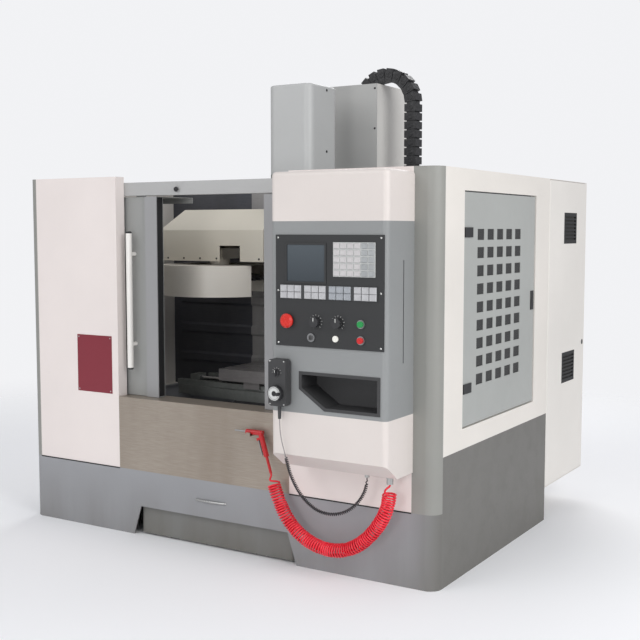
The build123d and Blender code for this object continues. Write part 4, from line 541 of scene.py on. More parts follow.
def setting_tree():
    """Geometry nodes that set one part at every point, turned as the point says, in one finish."""
    tree = bpy.data.node_groups.new("set_parts", "GeometryNodeTree")
    keys = {}
    for label, kind in ("Places", "Geometry"), ("Part", "Object"), ("Size", "Float"), ("Finish", "Material"):
        socket = tree.interface.new_socket(label, in_out="INPUT", socket_type="NodeSocket" + kind)
        keys[label] = socket.identifier
    tree.interface.new_socket("Parts", in_out="OUTPUT", socket_type="NodeSocketGeometry")

    def add(kind, out=0, **fed):
        made = tree.nodes.new(kind)
        for label, source in fed.items():
            tree.links.new(source, made.inputs[label])
        return made.outputs[out] if made.outputs else None

    turn = tree.nodes.new("GeometryNodeInputNamedAttribute")
    turn.data_type = "FLOAT_VECTOR"
    turn.inputs["Name"].default_value = "turn"
    given = tree.nodes.new("NodeGroupInput").outputs
    parts = add(
        "GeometryNodeInstanceOnPoints",
        Points=given["Places"],
        Instance=add("GeometryNodeObjectInfo", "Geometry", Object=given["Part"]),
        Rotation=add("FunctionNodeEulerToRotation", Euler=turn.outputs["Attribute"]),
        Scale=given["Size"],
    )
    solid = add("GeometryNodeRealizeInstances", Geometry=parts)
    add("NodeGroupOutput", Parts=add("GeometryNodeSetMaterial", Geometry=solid, Material=given["Finish"]))
    return tree, keys


set_parts, set_keys = setting_tree()
FORWARD, REAR, RIGHT, LEFT = (pi / 2, 0, 0), (-pi / 2, 0, 0), (0, pi / 2, 0), (0, -pi / 2, 0)
UP, DOWN = (0, 0, 0), (pi, 0, 0)


def set_many(name, part, size, places, finish, body):
    """Set a part at places, each a point and a turn, as one plain mesh on a body."""
    cloud = bpy.data.meshes.new(name)
    cloud.from_pydata([point for point, way in places], [], [])
    turns = cloud.attributes.new("turn", "FLOAT_VECTOR", "POINT")
    for index, (point, way) in enumerate(places):
        turns.data[index].vector = way
    holder = add_object(name + "_places", cloud)
    maker = holder.modifiers.new("set_parts", "NODES")
    maker.node_group = set_parts
    for label, given in (("Part", part), ("Size", size), ("Finish", finish.material)):
        maker[set_keys[label]] = given
    graph = bpy.context.evaluated_depsgraph_get()
    mesh = bpy.data.meshes.new_from_object(holder.evaluated_get(graph))
    bpy.data.objects.remove(holder)
    piece = add_object(name, mesh)
    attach(piece, body)
    return piece


def hex_screw(cage):
    turned(cage, [(0, 0), (1.25, 0), (1.25, 0.12), (1.2, 0.17), (0.0, 0.17)], 14)
    turned(cage, [(0, 0.16), (0.92, 0.16), (0.92, 0.66), (0.8, 0.78), (0, 0.78)], 6)


black_steel = satin_metal("black_steel", tone(58, 58, 60), 0.36)
bolt_ways = [(side * 0.23, (0, side * pi / 2, 0)) for side in (-1, 1)]
column_bolts = [((x, 0.6 + 0.09 * k, 0.73), way) for x, way in bolt_ways for k in range(4)]
bolt = template("hex_screw", hex_screw)
set_many("column_bolts", bolt, 0.013, column_bolts, black_steel, "frame")

# Rail caps: flat plugs pressed flush into the bolt holes of the guide rails, so that carriages run over them.
# They are blackened steel, one every sixty millimetres.
cap_plug = turned_part("rail_cap", [(0, 0), (1, 0), (1, 0.02), (0.9, 0.03), (0, 0.03)], 14)
spindle_y = 0.011
y_rail = [(side * 0.23, -0.58, 0.629) for side in (-1, 1)]
x_rail = [(-0.75, spindle_y + side * 0.15, 0.733) for side in (-1, 1)]
z_rail = [(side * 0.17, 0.532, 0.74) for side in (-1, 1)]
for name, body, starts, along, count, way in (
    ("y_rail_caps", "frame", y_rail, (0, 0.06, 0), 18, UP),
    ("x_rail_caps", "saddle", x_rail, (0.06, 0, 0), 26, UP),
    ("z_rail_caps", "frame", z_rail, (0, 0, 0.06), 25, FORWARD),
):
    caps = [(tuple(Vector(start) + Vector(along) * k), way) for start in starts for k in range(count)]
    set_many(name, cap_plug, 0.0075, caps, black_steel, body)

# Servo motors: die-cast bodies painted black, each held by four flange screws, with dark connector blocks.
# The Y motor sits in front of the bed, the X motor on the saddle, the Z motor on the column.
wear(powder_coat("motor_paint", tone(40, 41, 43), rough=0.4), "axis_motors", "x_motor", "spindle_motor")
socket_profile = [(0, 0), (1, 0), (1, 0.8), (0.9, 0.95), (0.52, 0.95), (0.5, 0.45), (0, 0.45)]
socket_screw = turned_part("socket_screw", socket_profile)
flange_half = 0.054
corners = [(a, b) for a in (-flange_half, flange_half) for b in (-flange_half, flange_half)]
for name, body, places in (
    ("y_motor_screws", "frame", [((a, -0.651, 0.575 + b), FORWARD) for a, b in corners]),
    ("z_motor_screws", "frame", [((a, 0.536 + b, 2.282), UP) for a, b in corners]),
    ("x_motor_screws", "saddle", [((0.795, spindle_y + a, 0.722 + b), RIGHT) for a, b in corners]),
):
    set_many(name, socket_screw, 0.008, places, plated_steel, body)
connector_plastic = moulded(
    "connector_plastic", tone(52, 50, 50), tone(64, 61, 60), scale=90.0, rough=(0.5, 0.15), patch=(0.4, 0.7)
)
z_plugs = boxes(
    ((-0.022, 0.594, 2.33), (0.022, 0.626, 2.368)),
    ((-0.016, 0.594, 2.40), (0.016, 0.62, 2.428)),
)
x_plugs = boxes(
    ((0.843, -0.011, 0.78), (0.883, 0.033, 0.812)),
    ((0.913, -0.005, 0.78), (0.943, 0.027, 0.804)),
)
mesh_piece("z_motor_plugs", z_plugs, connector_plastic, "frame", bevel=0.003)
mesh_piece("x_motor_plugs", x_plugs, connector_plastic, "saddle", bevel=0.003)

# Table: a ground cast-iron plate with T-slots that runs on the saddle, bright where fixtures have rubbed it.
# Its top keeps the fine lines of the grinding wheel along the slots.
table_top = Finish("table_top", Metallic=0.5)
grind = table_top.spots(260.0, 3.0, (0.06, 3.0, 3.0))
rubbed = table_top.spots(7.0, 5.0).between(0.4, 0.75)
table_top.paint(grind.between(0.3, 0.7), tone(164, 160, 160), tone(190, 186, 186))
table_top.over(rubbed * 0.4, tone(108, 104, 98)).relief(grind, 0.0004, 0.3)
table_top.set(Roughness=0.3 + rubbed * 0.16 + grind * 0.08)
wear(table_top, "table")

# Spindle: a ground steel shaft that turns in a sleeve with a bright nose flange.
# The sleeve is held up into the head by a ring of blackened socket screws.
wear(satin_metal("spindle_steel", tone(186, 187, 188), 0.2, (1.0, 1.0, 6.0)), "spindle_shaft")
wear(satin_metal("cartridge_steel", tone(150, 151, 152), 0.32, (1.0, 1.0, 5.0)), "spindle_cartridge")


def ring(middle, reach, count, offset=0.0):
    """Angles and points round an upright axis; offset is a share of a step."""
    x, y, z = middle
    angles = [2 * pi * (k + offset) / count for k in range(count)]
    return [(angle, (x + reach * cos(angle), y + reach * sin(angle), z)) for angle in angles]


flange_screws = [(point, DOWN) for angle, point in ring((0, spindle_y, 1.578), 0.097, 8)]
set_many("cartridge_screws", socket_screw, 0.008, flange_screws, black_steel, "head")


# Coolant nozzles: two lines of snap-together ball segments, screwed into the underside of the head.
# The segments are blue acetal, and each line ends in an orange cone that is aimed at the tool.
def nozzle_line(side, count=11, seat=0.012):
    """Places and turns of one nozzle's segments, and of its tip."""
    bends = ((0.105, -0.065, 1.601), (0.135, -0.088, 1.53), (0.10, -0.075, 1.455), (0.062, -0.05, 1.405))
    line, run = read_route([(side * x, y, z) for x, y, z in bends])
    places = []
    for k in range(count):
        far = run[-1] * k / count
        index = max(i for i, r in enumerate(run[:-1]) if r <= far)
        ahead = line[index + 1] - line[index]
        places.append((tuple(line[index]), tuple(ahead.to_track_quat("Z", "Y").to_euler())))
    tip = line[-1] - line[-2]
    return places, (tuple(line[-1] - tip.normalized() * seat), tuple(tip.to_track_quat("Z", "Y").to_euler()))


segment_profile = [(0, 0), (0.62, 0), (0.62, 0.5), (1.0, 0.9), (1.05, 1.5), (0.85, 1.95), (0, 1.95)]
cone_profile = [(0, 0), (1.0, 0), (1.0, 0.7), (0.45, 2.6), (0.3, 2.6), (0.3, 2.2), (0, 2.2)]
ball_segment = turned_part("ball_segment", segment_profile, 10)
nozzle_cone = turned_part("nozzle_cone", cone_profile, 10)
acetal = {"scale": 70.0, "rough": (0.36, 0.1), "patch": (0.35, 0.7)}
blue_acetal = moulded("blue_acetal", tone(44, 74, 120), tone(58, 92, 142), **acetal)
orange_acetal = moulded("orange_acetal", tone(206, 92, 26), tone(226, 112, 40), **acetal)
(left_line, left_tip), (right_line, right_tip) = nozzle_line(-1), nozzle_line(1)
segments, tips = left_line + right_line, [left_tip, right_tip]
set_many("nozzle_segments", ball_segment, 0.0092, segments, blue_acetal, "head")
set_many("nozzle_tips", nozzle_cone, 0.009, tips, orange_acetal, "head")

# Motor cover: light grey sheet box over the spindle motor, with round front edges,
# held by pan screws along its side flanges and vented at the rear by pressed louvres.
cover_paint = powder_coat("cover_paint", tone(186, 187, 186), rough=0.36)
wear(cover_paint, "motor_cover")
cover_low, cover_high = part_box("motor_cover")
pan_profile = [(0, 0), (1.0, 0), (1.0, 0.2), (0.82, 0.45), (0.4, 0.58), (0.22, 0.6), (0.2, 0.4), (0, 0.4)]
pan_screw = turned_part("pan_screw", pan_profile)
cover_sides = ((cover_high.x, RIGHT), (cover_low.x, LEFT))
cover_screws = [((x, 0.043, level), way) for level in (2.058, 2.396) for x, way in cover_sides]
set_many("cover_screws", pan_screw, 0.0072, cover_screws, black_steel, "head")


def cover_louvre(cage):
    """One pressed louvre: a shallow hood over a slit."""
    foot = [(-0.5, -0.1, 0), (0.5, -0.1, 0), (0.44, 0.1, 0), (-0.44, 0.1, 0)]
    crown = [(-0.44, 0.03, 0.09), (0.44, 0.03, 0.09), (0.44, 0.1, 0.07), (-0.44, 0.1, 0.07)]
    points = [cage.verts.new(corner) for corner in foot + crown]
    for face in ((0, 1, 5, 4), (4, 5, 6, 7), (7, 6, 2, 3), (0, 4, 7, 3), (1, 2, 6, 5), (0, 3, 2, 1)):
        cage.faces.new([points[k] for k in face])


louvre = template("cover_louvre", cover_louvre)
louvre_places = [((0, cover_high.y, 2.06 + 0.036 * k), REAR) for k in range(8)]
set_many("cover_louvres", louvre, 0.15, louvre_places, cover_paint, "head")

# Rear wall and column guards: ribbed stainless sheet behind the table, brushed along X and dulled by coolant,
# painted dark blue-black outside its middle as painted shade.
# Above the guard's top edge it carries the painted sheets that box the column in, held by pan screws; their
# front faces are painted darker grey as painted shade.
wall_sheet = Finish("wall_sheet")
wall_x = wall_sheet.axis("X")
upper = wall_sheet.axis("Z") > 1.9
wall_lines = wall_sheet.spots(300.0, 3.0, (0.05, 2.0, 2.0))
splash = wall_sheet.spots(6.0, 5.0, (1.0, 1.0, 0.3)).between(0.4, 0.75)
# Painted shade: outside its lighter middle the wall is painted dark blue-black, standing in for the dim
# corners inside the guards.
unshaded_middle = (wall_x > -0.625) * (wall_x < 0.625)
wall_sheet.paint(unshaded_middle, tone(74, 77, 86), tone(160, 158, 158))
wall_sheet.over(wall_lines.between(0.3, 0.7) * 0.3, tone(120, 118, 116)).over(splash * 0.5, tone(62, 60, 58))
paint_cloud = wall_sheet.spots(1.7, 5.0).between(0.3, 0.7)
paint_colour = wall_sheet.blend(paint_cloud, tone(206, 204, 200), tone(222, 220, 216))
# Painted shade: the guards' faces in front of Y 0.4012 take a darker grey than their sides.
paint_colour = wall_sheet.blend(wall_sheet.axis("Y") < 0.4012, paint_colour, tone(176, 176, 174))
wall_sheet.over(upper, paint_colour).relief(wall_lines, 0.0003, 0.25)
wall_sheet.set(Metallic=(1 - upper) * (0.4 - unshaded_middle * 0.25))
wall_sheet.set(Roughness=0.34 + splash * 0.2 + upper * 0.08)
wear(wall_sheet, "rear_wall")
guard_screws = [((x, 0.398, level), FORWARD) for level in (1.96, 2.21, 2.44) for x in (-0.252, 0.252)]
set_many("guard_screws", pan_screw, 0.0062, guard_screws, black_steel, "frame")

# Cable chain: moulded nylon links, each snapped into the next, with a cross bar that opens for cables.
# It is black and faintly glossy where the links rub; every link shows its two round pivot bosses.
chain_nylon = moulded(
    "chain_nylon", tone(30, 30, 32), tone(46, 46, 48), scale=60.0, detail=4.0, rough=(0.5, -0.16),
    patch=(0.45, 0.75), grain=380.0, relief=(0.0003, 0.4),
)
wear(chain_nylon, "cable_chain")
chain_sides = ((0.435, FORWARD), (0.515, REAR))
chain_leg, chain_bend, bend_z, link = 0.132, 0.165, 2.352, 0.05
chain_line = [(chain_leg, 1.98 + link * k) for k in range(8)]
chain_line += [(chain_leg + 2 * chain_bend, 1.92 + link * k) for k in range(9)]
bend_angles = [pi * (k + 0.5) / 10 for k in range(10)]
chain_line += [(chain_leg + chain_bend * (1 + cos(a)), bend_z + chain_bend * sin(a)) for a in bend_angles]
chain_bosses = [((x, y, z), way) for y, way in chain_sides for x, z in chain_line]
boss_profile = [(0, 0), (1, 0), (1, 0.12), (0.9, 0.2), (0.55, 0.2), (0.5, 0.1), (0, 0.1)]
pivot_boss = turned_part("pivot_boss", boss_profile, 14)
set_many("chain_bosses", pivot_boss, 0.015, chain_bosses, chain_nylon, "frame")


# Way covers: moulded neoprene bellows with hemmed edges, below the head and in front of the saddle.
# Each is riveted to a fixed casting at one end and to a moving one at the other, so it folds and draws out.
def pleats(count, half, skin, depth, lie, steps=8):
    """A pleated strip; lie carries a share of its length, a place across it and a rise to the frame."""
    def build(cage):
        hem = half - 0.012
        rows = []
        for step in range(steps * count + 1):
            far, share = step / (steps * count), step / steps % 1
            swell = 0.7 * (1 - abs(2 * share - 1)) + 0.15 * (1 - cos(2 * pi * share))
            top = skin + swell * (depth - skin)
            sunk, under = top - skin / 4, top - skin
            outline = [(-half, top), (-hem, top), (-hem, sunk), (hem, sunk), (hem, top), (half, top)]
            outline += [(half, under), (-half, under)]
            rows.append([cage.verts.new(lie(far, across, rise)) for across, rise in outline])
        join_rows(cage, rows)
        cage.faces.new(rows[0])
        cage.faces.new(rows[-1])
    return build


neoprene = Finish("neoprene")
weave_place = {"Vector": neoprene.object_place, "Scale": 210.0, "Distortion": 0.3}
weave = neoprene.node("ShaderNodeTexWave", {}, weave_place)
crest_rub = neoprene.spots(34.0, 5.0).between(0.45, 0.75)
neoprene.paint(crest_rub * 0.5, tone(44, 44, 46), tone(86, 84, 82)).relief(weave, 0.0003, 0.3)
neoprene.set(Roughness=0.68 + crest_rub * 0.14)
column_strip = pleats(
    count=16, half=0.158, skin=0.005, depth=0.042,
    lie=lambda far, across, rise: (across, 0.505 - rise, 0.76 + 0.7396 * far),
)
column_bellows = mesh_piece("column_bellows", column_strip, neoprene, "frame")
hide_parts("z_bellows")
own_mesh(column_bellows)
bed_strip = pleats(
    count=7, half=0.3, skin=0.004, depth=0.02,
    lie=lambda far, across, rise: (across, -0.639 + 0.4296 * far, 0.634 + rise),
)
bed_bellows = mesh_piece("bed_bellows", bed_strip, neoprene, "")
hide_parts("y_bellows")
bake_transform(bed_bellows)

# Tool magazine: a beige sheet hood and drum over a disc with sixteen sprung fingers, on a bracket.
# Hood and drum are powder coated, the drum in a lighter copy of the hood's beige as painted light; the disc
# is black-oxide steel and its fingers are held by socket screws.
wear(powder_coat("hood_paint", tone(212, 206, 192), rough=0.4), "magazine_cover")
# Painted light: the drum's beige is a lighter copy of the hood's, standing in for the lamp light on it.
wear(powder_coat("drum_paint_lit", tone(242, 236, 225), rough=0.36), "magazine_carriage")
wear(satin_metal("disc_steel", tone(104, 104, 106), 0.34), "magazine_disc")
disc_middle, finger_count, tag_reach = (-0.586, spindle_y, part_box("magazine_disc")[0].z), 16, 0.225
finger_rings = ring(disc_middle, tag_reach, finger_count) + ring(disc_middle, 0.247, finger_count)
finger_screws = [(point, DOWN) for angle, point in finger_rings]
set_many("finger_screws", socket_screw, 0.0055, finger_screws, plated_steel, "magazine_disc")
hood_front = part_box("magazine_cover")[0].y
hood_screws = [((x, hood_front, 1.456), FORWARD) for x in (-0.85, -0.73, -0.61, -0.49, -0.19)]
set_many("hood_screws", pan_screw, 0.0058, hood_screws, black_steel, "frame")

# Tool number plates: a plated steel tag riveted to the disc beside every finger.
# The real ones are engraved; these are left blank.
tag = template("tag", boxes(((-0.5, -0.32, 0), (0.5, 0.32, 0.05))))
tag_places = [(point, (pi, 0, angle)) for angle, point in ring(disc_middle, tag_reach, finger_count, 0.5)]
set_many("disc_tags", tag, 0.03, tag_places, plated_steel, "magazine_disc")

# Front and side guards: pressed sheet trays, powder coated in a warm white, hung on grey corner posts.
# A plain crimson plate is riveted to the left front one.
wear(powder_coat("guard_white", tone(231, 222, 218), dust=0.1, rough=0.38), "front_panels")
wear(powder_coat("side_white", tone(226, 221, 214), rough=0.4), "side_panels", "cabinet_shell")
wear(powder_coat("post_grey", tone(144, 144, 139), rough=0.42), "corner_posts")
plate_face = -0.8606
plate = boxes(((-0.905, plate_face, 0.745), (-0.655, front_face + lip_gap, 1.055)))
crimson = powder_coat("crimson", tone(128, 42, 54), rough=0.34)
mesh_piece("crimson_plate", plate, crimson, "frame", bevel=0.0006)
rivet = turned_part("rivet", [(0, 0), (1, 0), (0.92, 0.3), (0.6, 0.55), (0, 0.65)])
plate_rivets = [((x, plate_face, z), FORWARD) for x in (-0.893, -0.667) for z in (0.757, 1.043)]
set_many("plate_rivets", rivet, 0.0042, plate_rivets, plated_steel, "frame")

# Side access door: grey folded sheet with rows of vents, backed by a dark woven filter gauze.
# It hangs on black leaf hinges and is held by a flush latch at its rear edge.
vent_paint = powder_coat("vent_paint", tone(166, 168, 165), rough=0.42)
vent_paint.over(vent_paint.axis("X") > 1.2553, tone(30, 30, 32))
wear(vent_paint, "side_door")
gauze = Finish("vent_gauze", Roughness=0.62)
threads = {"Vector": gauze.object_place, "Scale": 150.0}
across, upward = (gauze.node("ShaderNodeTexWave", {"bands_direction": way}, threads) for way in "YZ")
mesh_height = across.math("MAXIMUM", upward)
gauze.paint(mesh_height, tone(20, 20, 21), tone(58, 58, 58)).relief(mesh_height, 0.0006, 0.6)
gauze_sheet = boxes(((1.2502, -0.45, 0.83), (1.2518, 0.18, 1.67)))
mesh_piece("vent_gauze", gauze_sheet, gauze, "side_door")
satin_black = moulded(
    "satin_black", tone(26, 26, 28), tone(38, 38, 40), scale=260.0, rough=(0.4, 0.2), relief=(0.0003, 0.4)
)
latch = boxes(
    ((1.255, 0.286, 1.20), (1.2592, 0.326, 1.30)),
    ((1.2592, 0.297, 1.235), (1.2598, 0.315, 1.265)),
)
mesh_piece("side_latch", latch, satin_black, "side_door", bevel=0.0015)
flat_screw = turned_part("flat_screw", [(0, 0), (1, 0), (1, 0.06), (0.55, 0.08), (0.5, 0.02), (0, 0.02)])
leaf_face = 1.2594
hinge_screws = [((leaf_face, y, level), RIGHT) for level in (0.883, 1.610) for y in (-0.565, -0.533, -0.501)]
set_many("hinge_screws", flat_screw, 0.0055, hinge_screws, plated_steel, "side_door")

# Front apron: brushed stainless skirt under the doors, brownish in the light, with a rolled sill.
# It is screwed to the base from inside, and the hook for the blow gun is welded to it.
apron_steel = Finish("apron_steel", Metallic=0.55)
apron_lines = apron_steel.spots(320.0, 3.0, (0.04, 2.0, 2.0))
apron_run = apron_steel.spots(4.0, 5.0, (1.0, 1.0, 0.2)).between(0.4, 0.8)
apron_steel.paint(apron_lines.between(0.3, 0.7), tone(158, 147, 135), tone(176, 166, 154))
apron_steel.over(apron_run * 0.35, tone(128, 114, 100)).relief(apron_lines, 0.0003, 0.25)
apron_steel.set(Roughness=0.4 + apron_run * 0.14)
wear(apron_steel, "front_apron")

# Door header: a folded channel across the opening that carries the door rollers, powder coated in light grey.
# A small black stop knob is screwed into its front.
wear(powder_coat("header_paint", tone(174, 174, 173), rough=0.4), "door_header")
knob_profile = [(0, 0), (0.4, 0), (0.4, 0.5), (0.95, 0.62), (1.0, 1.0), (0.85, 1.3), (0, 1.35)]
stop_knob = turned_part("stop_knob", knob_profile, 16)
stop_place = [((-0.249, -0.792, 1.829), FORWARD)]
set_many("stop_knob", stop_knob, 0.013, stop_place, satin_black, "frame")

# Sliding doors: grey sheet leaves with a raised stile, a safety-glass window in a rubber gasket
# and a white tube handle. They hang from rollers in the header.
leaf_paint = powder_coat("leaf_paint", tone(150, 151, 149), rough=0.44)
leaf_paint.over(leaf_paint.axis("Y") < -0.7795, tone(150, 150, 151))
wear(leaf_paint, "door_left", "door_right")
safety_glass = Finish("safety_glass", Transmission_Weight=0.96, IOR=1.18, Roughness=0.03)
smear = safety_glass.spots(3.0, 6.0, (1.0, 1.0, 0.4)).between(0.45, 0.8)
safety_glass.paint(smear, (0.74, 0.79, 0.79, 1), (0.68, 0.71, 0.7, 1))
wear(safety_glass, "door_left_window", "door_right_window")
wear(powder_coat("handle_white", tone(236, 233, 228), rough=0.28), "door_left_handle", "door_right_handle")


def rounded_loop(x, z, half_x, half_z, radius, steps=6):
    """Points of a rounded rectangle in X and Z, round its middle."""
    loop = []
    for quarter, (across, upward) in enumerate(((1, 1), (-1, 1), (-1, -1), (1, -1))):
        corner_x, corner_z = x + across * (half_x - radius), z + upward * (half_z - radius)
        for step in range(steps + 1):
            angle = (quarter + step / steps) * pi / 2
            loop.append((corner_x + radius * cos(angle), corner_z + radius * sin(angle)))
    return loop


def window_gasket(middle, front=-0.7835, rear=-0.7762):
    """A flat frame between two rounded loops, round a window."""
    def build(cage):
        outer = rounded_loop(middle, 1.3, 0.175, 0.35, 0.04)
        inner = rounded_loop(middle, 1.3, 0.158, 0.333, 0.024)
        edges = ((outer, front), (outer, rear), (inner, rear), (inner, front))
        rows = [[cage.verts.new((x, depth, z)) for x, z in loop] for loop, depth in edges]
        join_rows(cage, rows + rows[:1])
    return build


for side, middle in (("left", -0.795), ("right", 0.695)):
    gasket = window_gasket(middle)
    mesh_piece("gasket_" + side, gasket, black_rubber, "door_" + side, bevel=0.002)

# Handle ends: black moulded caps that close the white tubes.
# One is pressed into each end of each handle.
handle_cap = turned_part("cap", [(0, 0), (1, 0), (1, 0.35), (0.8, 0.62), (0, 0.7)], 16)
for side, place in (("left", -0.555), ("right", 0.455)):
    low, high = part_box("door_" + side + "_handle")
    ends = [((place, -0.824, high.z), UP), ((place, -0.824, low.z), DOWN)]
    set_many("handle_caps_" + side, handle_cap, 0.0157, ends, satin_black, "door_" + side)

# Meeting strips: a thin black rubber lip glued to the edge of each door.
# The doors close softly on them, and they keep the coolant in.
strip_low, strip_high = (-0.788, 0.742), (-0.745, 1.79)
for side, left, right in (("left", -0.39, -0.3892), ("right", 0.2892, 0.29)):
    strip = boxes(((left, *strip_low), (right, *strip_high)))
    mesh_piece("meeting_strip_" + side, strip, black_rubber, "door_" + side)

# Electrical cabinet: white folded door on pin hinges, closed by a flush quarter-turn lock.
# Two fan grilles of black nylon are snapped into it, each over a grey filter mat.
cabinet_paint = powder_coat("cabinet_paint", tone(228, 224, 218), rough=0.4)


def spot(finish, axes, place, radius):
    """1 inside a round spot on two axes, 0 outside."""
    first, second = (finish.axis(label) - middle for label, middle in zip(axes, place))
    return first * first + second * second < radius * radius


cabinet_paint.over(spot(cabinet_paint, "YZ", (1.168, 0.95), 0.016), tone(42, 42, 44))
wear(cabinet_paint, "cabinet_door")
grille_nylon = moulded(
    "grille_nylon", tone(24, 24, 25), tone(36, 36, 37), scale=300.0, rough=(0.5, 0.16), relief=(0.0004, 0.4)
)
wear(grille_nylon, "fan_grilles")
mat_fibre = Finish("mat_fibre", Roughness=0.95)
fibre = mat_fibre.spots(220.0, 6.0, (1.0, 1.0, 1.0), 0.7)
mat_fibre.paint(fibre, tone(46, 46, 45), tone(84, 83, 80)).relief(fibre, 0.002, 0.8)
mat_half = 0.0875
mats = [((1.2440, 0.8035, z - mat_half), (1.2508, 1.0245, z + mat_half)) for z in (0.828, 1.631)]
mesh_piece("filter_mats", boxes(*mats), mat_fibre, "cabinet_door")

# Drive rack: zinc plate with four servo drives, breakers and slotted trunking, screwed in behind the door.
# The drives are grey mouldings, each with a dark display and green terminal strips.
rack_plastic = moulded("rack_plastic", tone(150, 150, 145), tone(164, 164, 159), 200.0, rough=(0.5, 0.14))
wear(rack_plastic, "drive_rack")
terminal_green = moulded("terminal_green", tone(40, 112, 62), tone(54, 132, 76), 160.0, rough=(0.45, 0.1))
display_glass = moulded(
    "display_glass", tone(28, 20, 20), tone(44, 30, 30), scale=12.0, rough=(0.14, 0.08), Coat_Weight=0.5
)
drive_face, drive_edges = 0.867, [0.632 + 0.126 * k for k in range(4)]
displays = [((drive_face, y + 0.03, 1.425), (drive_face + 0.0012, y + 0.08, 1.452)) for y in drive_edges]
terminals = [
    ((drive_face, y + 0.012, z), (drive_face + 0.010, y + 0.098, z + 0.016))
    for y in drive_edges for z in (1.112, 1.30)
]
trunk_back, trunk_face, rib_face = 0.6772, 0.7300, 0.7312
rib_edges = [0.638 + 0.0245 * k for k in range(20)]
trunking = []
for low, high in ((0.915, 0.985), (1.02, 1.075)):
    trunking.append(((trunk_back, 0.632, low), (trunk_face, 1.12, high)))
    trunking += [((trunk_face, y, low), (rib_face, y + 0.014, high)) for y in rib_edges]
mesh_piece("drive_displays", boxes(*displays), display_glass, "frame")
mesh_piece("drive_terminals", boxes(*terminals), terminal_green, "frame", bevel=0.0008)
mesh_piece("trunking", boxes(*trunking), rack_plastic, "frame")
toggle = template("breaker_toggle", boxes(((-0.5, -0.5, 0), (0.5, 0.5, 1.4))))
toggle_places = [((0.767, 0.6465 + 0.027 * k, 0.795), RIGHT) for k in range(18)]
set_many("breaker_toggles", toggle, 0.011, toggle_places, satin_black, "frame")

# Operator station: a grey sheet case between a white cap and a white foot, hung beside the door opening.
# A pocket of dark moulded plastic, set into its front, holds drawings and tools.
wear(powder_coat("station_paint", tone(140, 142, 142), rough=0.4), "pod_body")
wear(powder_coat("station_white", tone(217, 209, 204), rough=0.38), "pod_covers")
pocket_plastic = moulded(
    "pocket_plastic", tone(50, 50, 51), tone(64, 64, 65), scale=340.0, detail=3.0, rough=(0.55, 0.12),
    relief=(0.0006, 0.5),
)
wear(pocket_plastic, "tray_pocket", "pendant_body")

# Control board: black laminate with a framed screen, a pale key field, a strip of keys, collars and a lamp.
# It is matt, with a fine leather grain, and screwed on; collars are turned aluminium, the lamp a milky lens.
board = Finish("board_laminate")
board_x, board_z = board.axis("X"), board.axis("Z")
leather = board.spots(420.0, 3.0)
field = board.axis("Y") < -1.1144
pad_mask = field * (board_z > 1.415) * (board_x > 0.87)
strip_mask = field * (board_z > 1.31) * (board_z < 1.385)
green_collar, red_collar, key_collar = (
    spot(board, "XZ", place, 0.0195) for place in ((1.016, 1.217), (1.016, 1.147), (0.764, 1.147))
)
collar_mask = (green_collar + red_collar + key_collar) * field
lens_mask = spot(board, "XZ", (0.889, 1.147), 0.0145) * field
board.paint(leather, tone(36, 37, 38), tone(46, 47, 48)).relief(leather, 0.0003, 0.3)
board.over(pad_mask, tone(186, 188, 186)).over(strip_mask, tone(58, 59, 60))
board.over(collar_mask, tone(158, 159, 160)).over(lens_mask, tone(238, 236, 228))
board.set(Metallic=collar_mask * 0.9, Roughness=0.5 - collar_mask * 0.2 - lens_mask * 0.32 + leather * 0.08)
wear(board, "control_panel")
screen_face = Finish("screen_face", Coat_Weight=0.6)
# Painted reflection: the dark screen is painted lighter towards its top.
screen_reflection = screen_face.axis("Z").between(1.394, 1.556)
screen_face.paint(screen_reflection, tone(52, 60, 66), tone(74, 82, 88))
screen_face.set(Roughness=0.16 + screen_face.spots(6.0, 3.0) * 0.1)
wear(screen_face, "screen")


# Keys: moulded caps on a rubber mat, five rows of six beside the screen and four groups of six below it.
# All caps are the same dished wedge in four tints of grey, with no legends.
def key_cap(cage):
    base = [(-0.5, -0.42), (0.5, -0.42), (0.5, 0.42), (-0.5, 0.42)]
    rows = []
    for share, height in ((1.0, 0.0), (1.0, 0.06), (0.82, 0.15), (0.7, 0.13)):
        rows.append([cage.verts.new((x * share, y * share, height)) for x, y in base])
    join_rows(cage, rows)
    cage.faces.new(rows[0])
    cage.faces.new(rows[-1])


mat_face = -1.118


def key_block(columns, rows, x, z, wide, high):
    """Places of keys in columns and rows, from the lowest left one."""
    return [((x + wide * c, mat_face, z + high * r), FORWARD) for c in range(columns) for r in range(rows)]


key_part = template("key_cap", key_cap)
pad_size, strip_size = 0.0285, 0.0345
pale_keys = key_block(4, 5, 0.8943, 1.4339, 0.0347, 0.0298)
mid_keys = key_block(2, 5, 1.0331, 1.4339, 0.0347, 0.0298)
groups = [key_block(3, 2, 0.621 + 0.1265 * group, 1.3325, 0.0375, 0.030) for group in range(4)]
for name, plastic_name, colour, size, places in (
    ("pad_keys_pale", "key_pale", tone(198, 195, 195), pad_size, pale_keys),
    ("pad_keys_mid", "key_mid", tone(160, 163, 164), pad_size, mid_keys),
    ("strip_keys", "key_strip", tone(184, 184, 186), strip_size, groups[0] + groups[1] + groups[3]),
    ("strip_keys_blue", "key_blue", tone(160, 164, 169), strip_size, groups[2]),
):
    key_plastic = moulded(
        plastic_name, shade(colour, 0.93), shade(colour, 1.04), scale=30.0, detail=4.0, rough=(0.42, 0.12),
        patch=(0.4, 0.7), grain=420.0, relief=(0.0002, 0.4),
    )
    set_many(name, key_part, size, places, key_plastic, "frame")

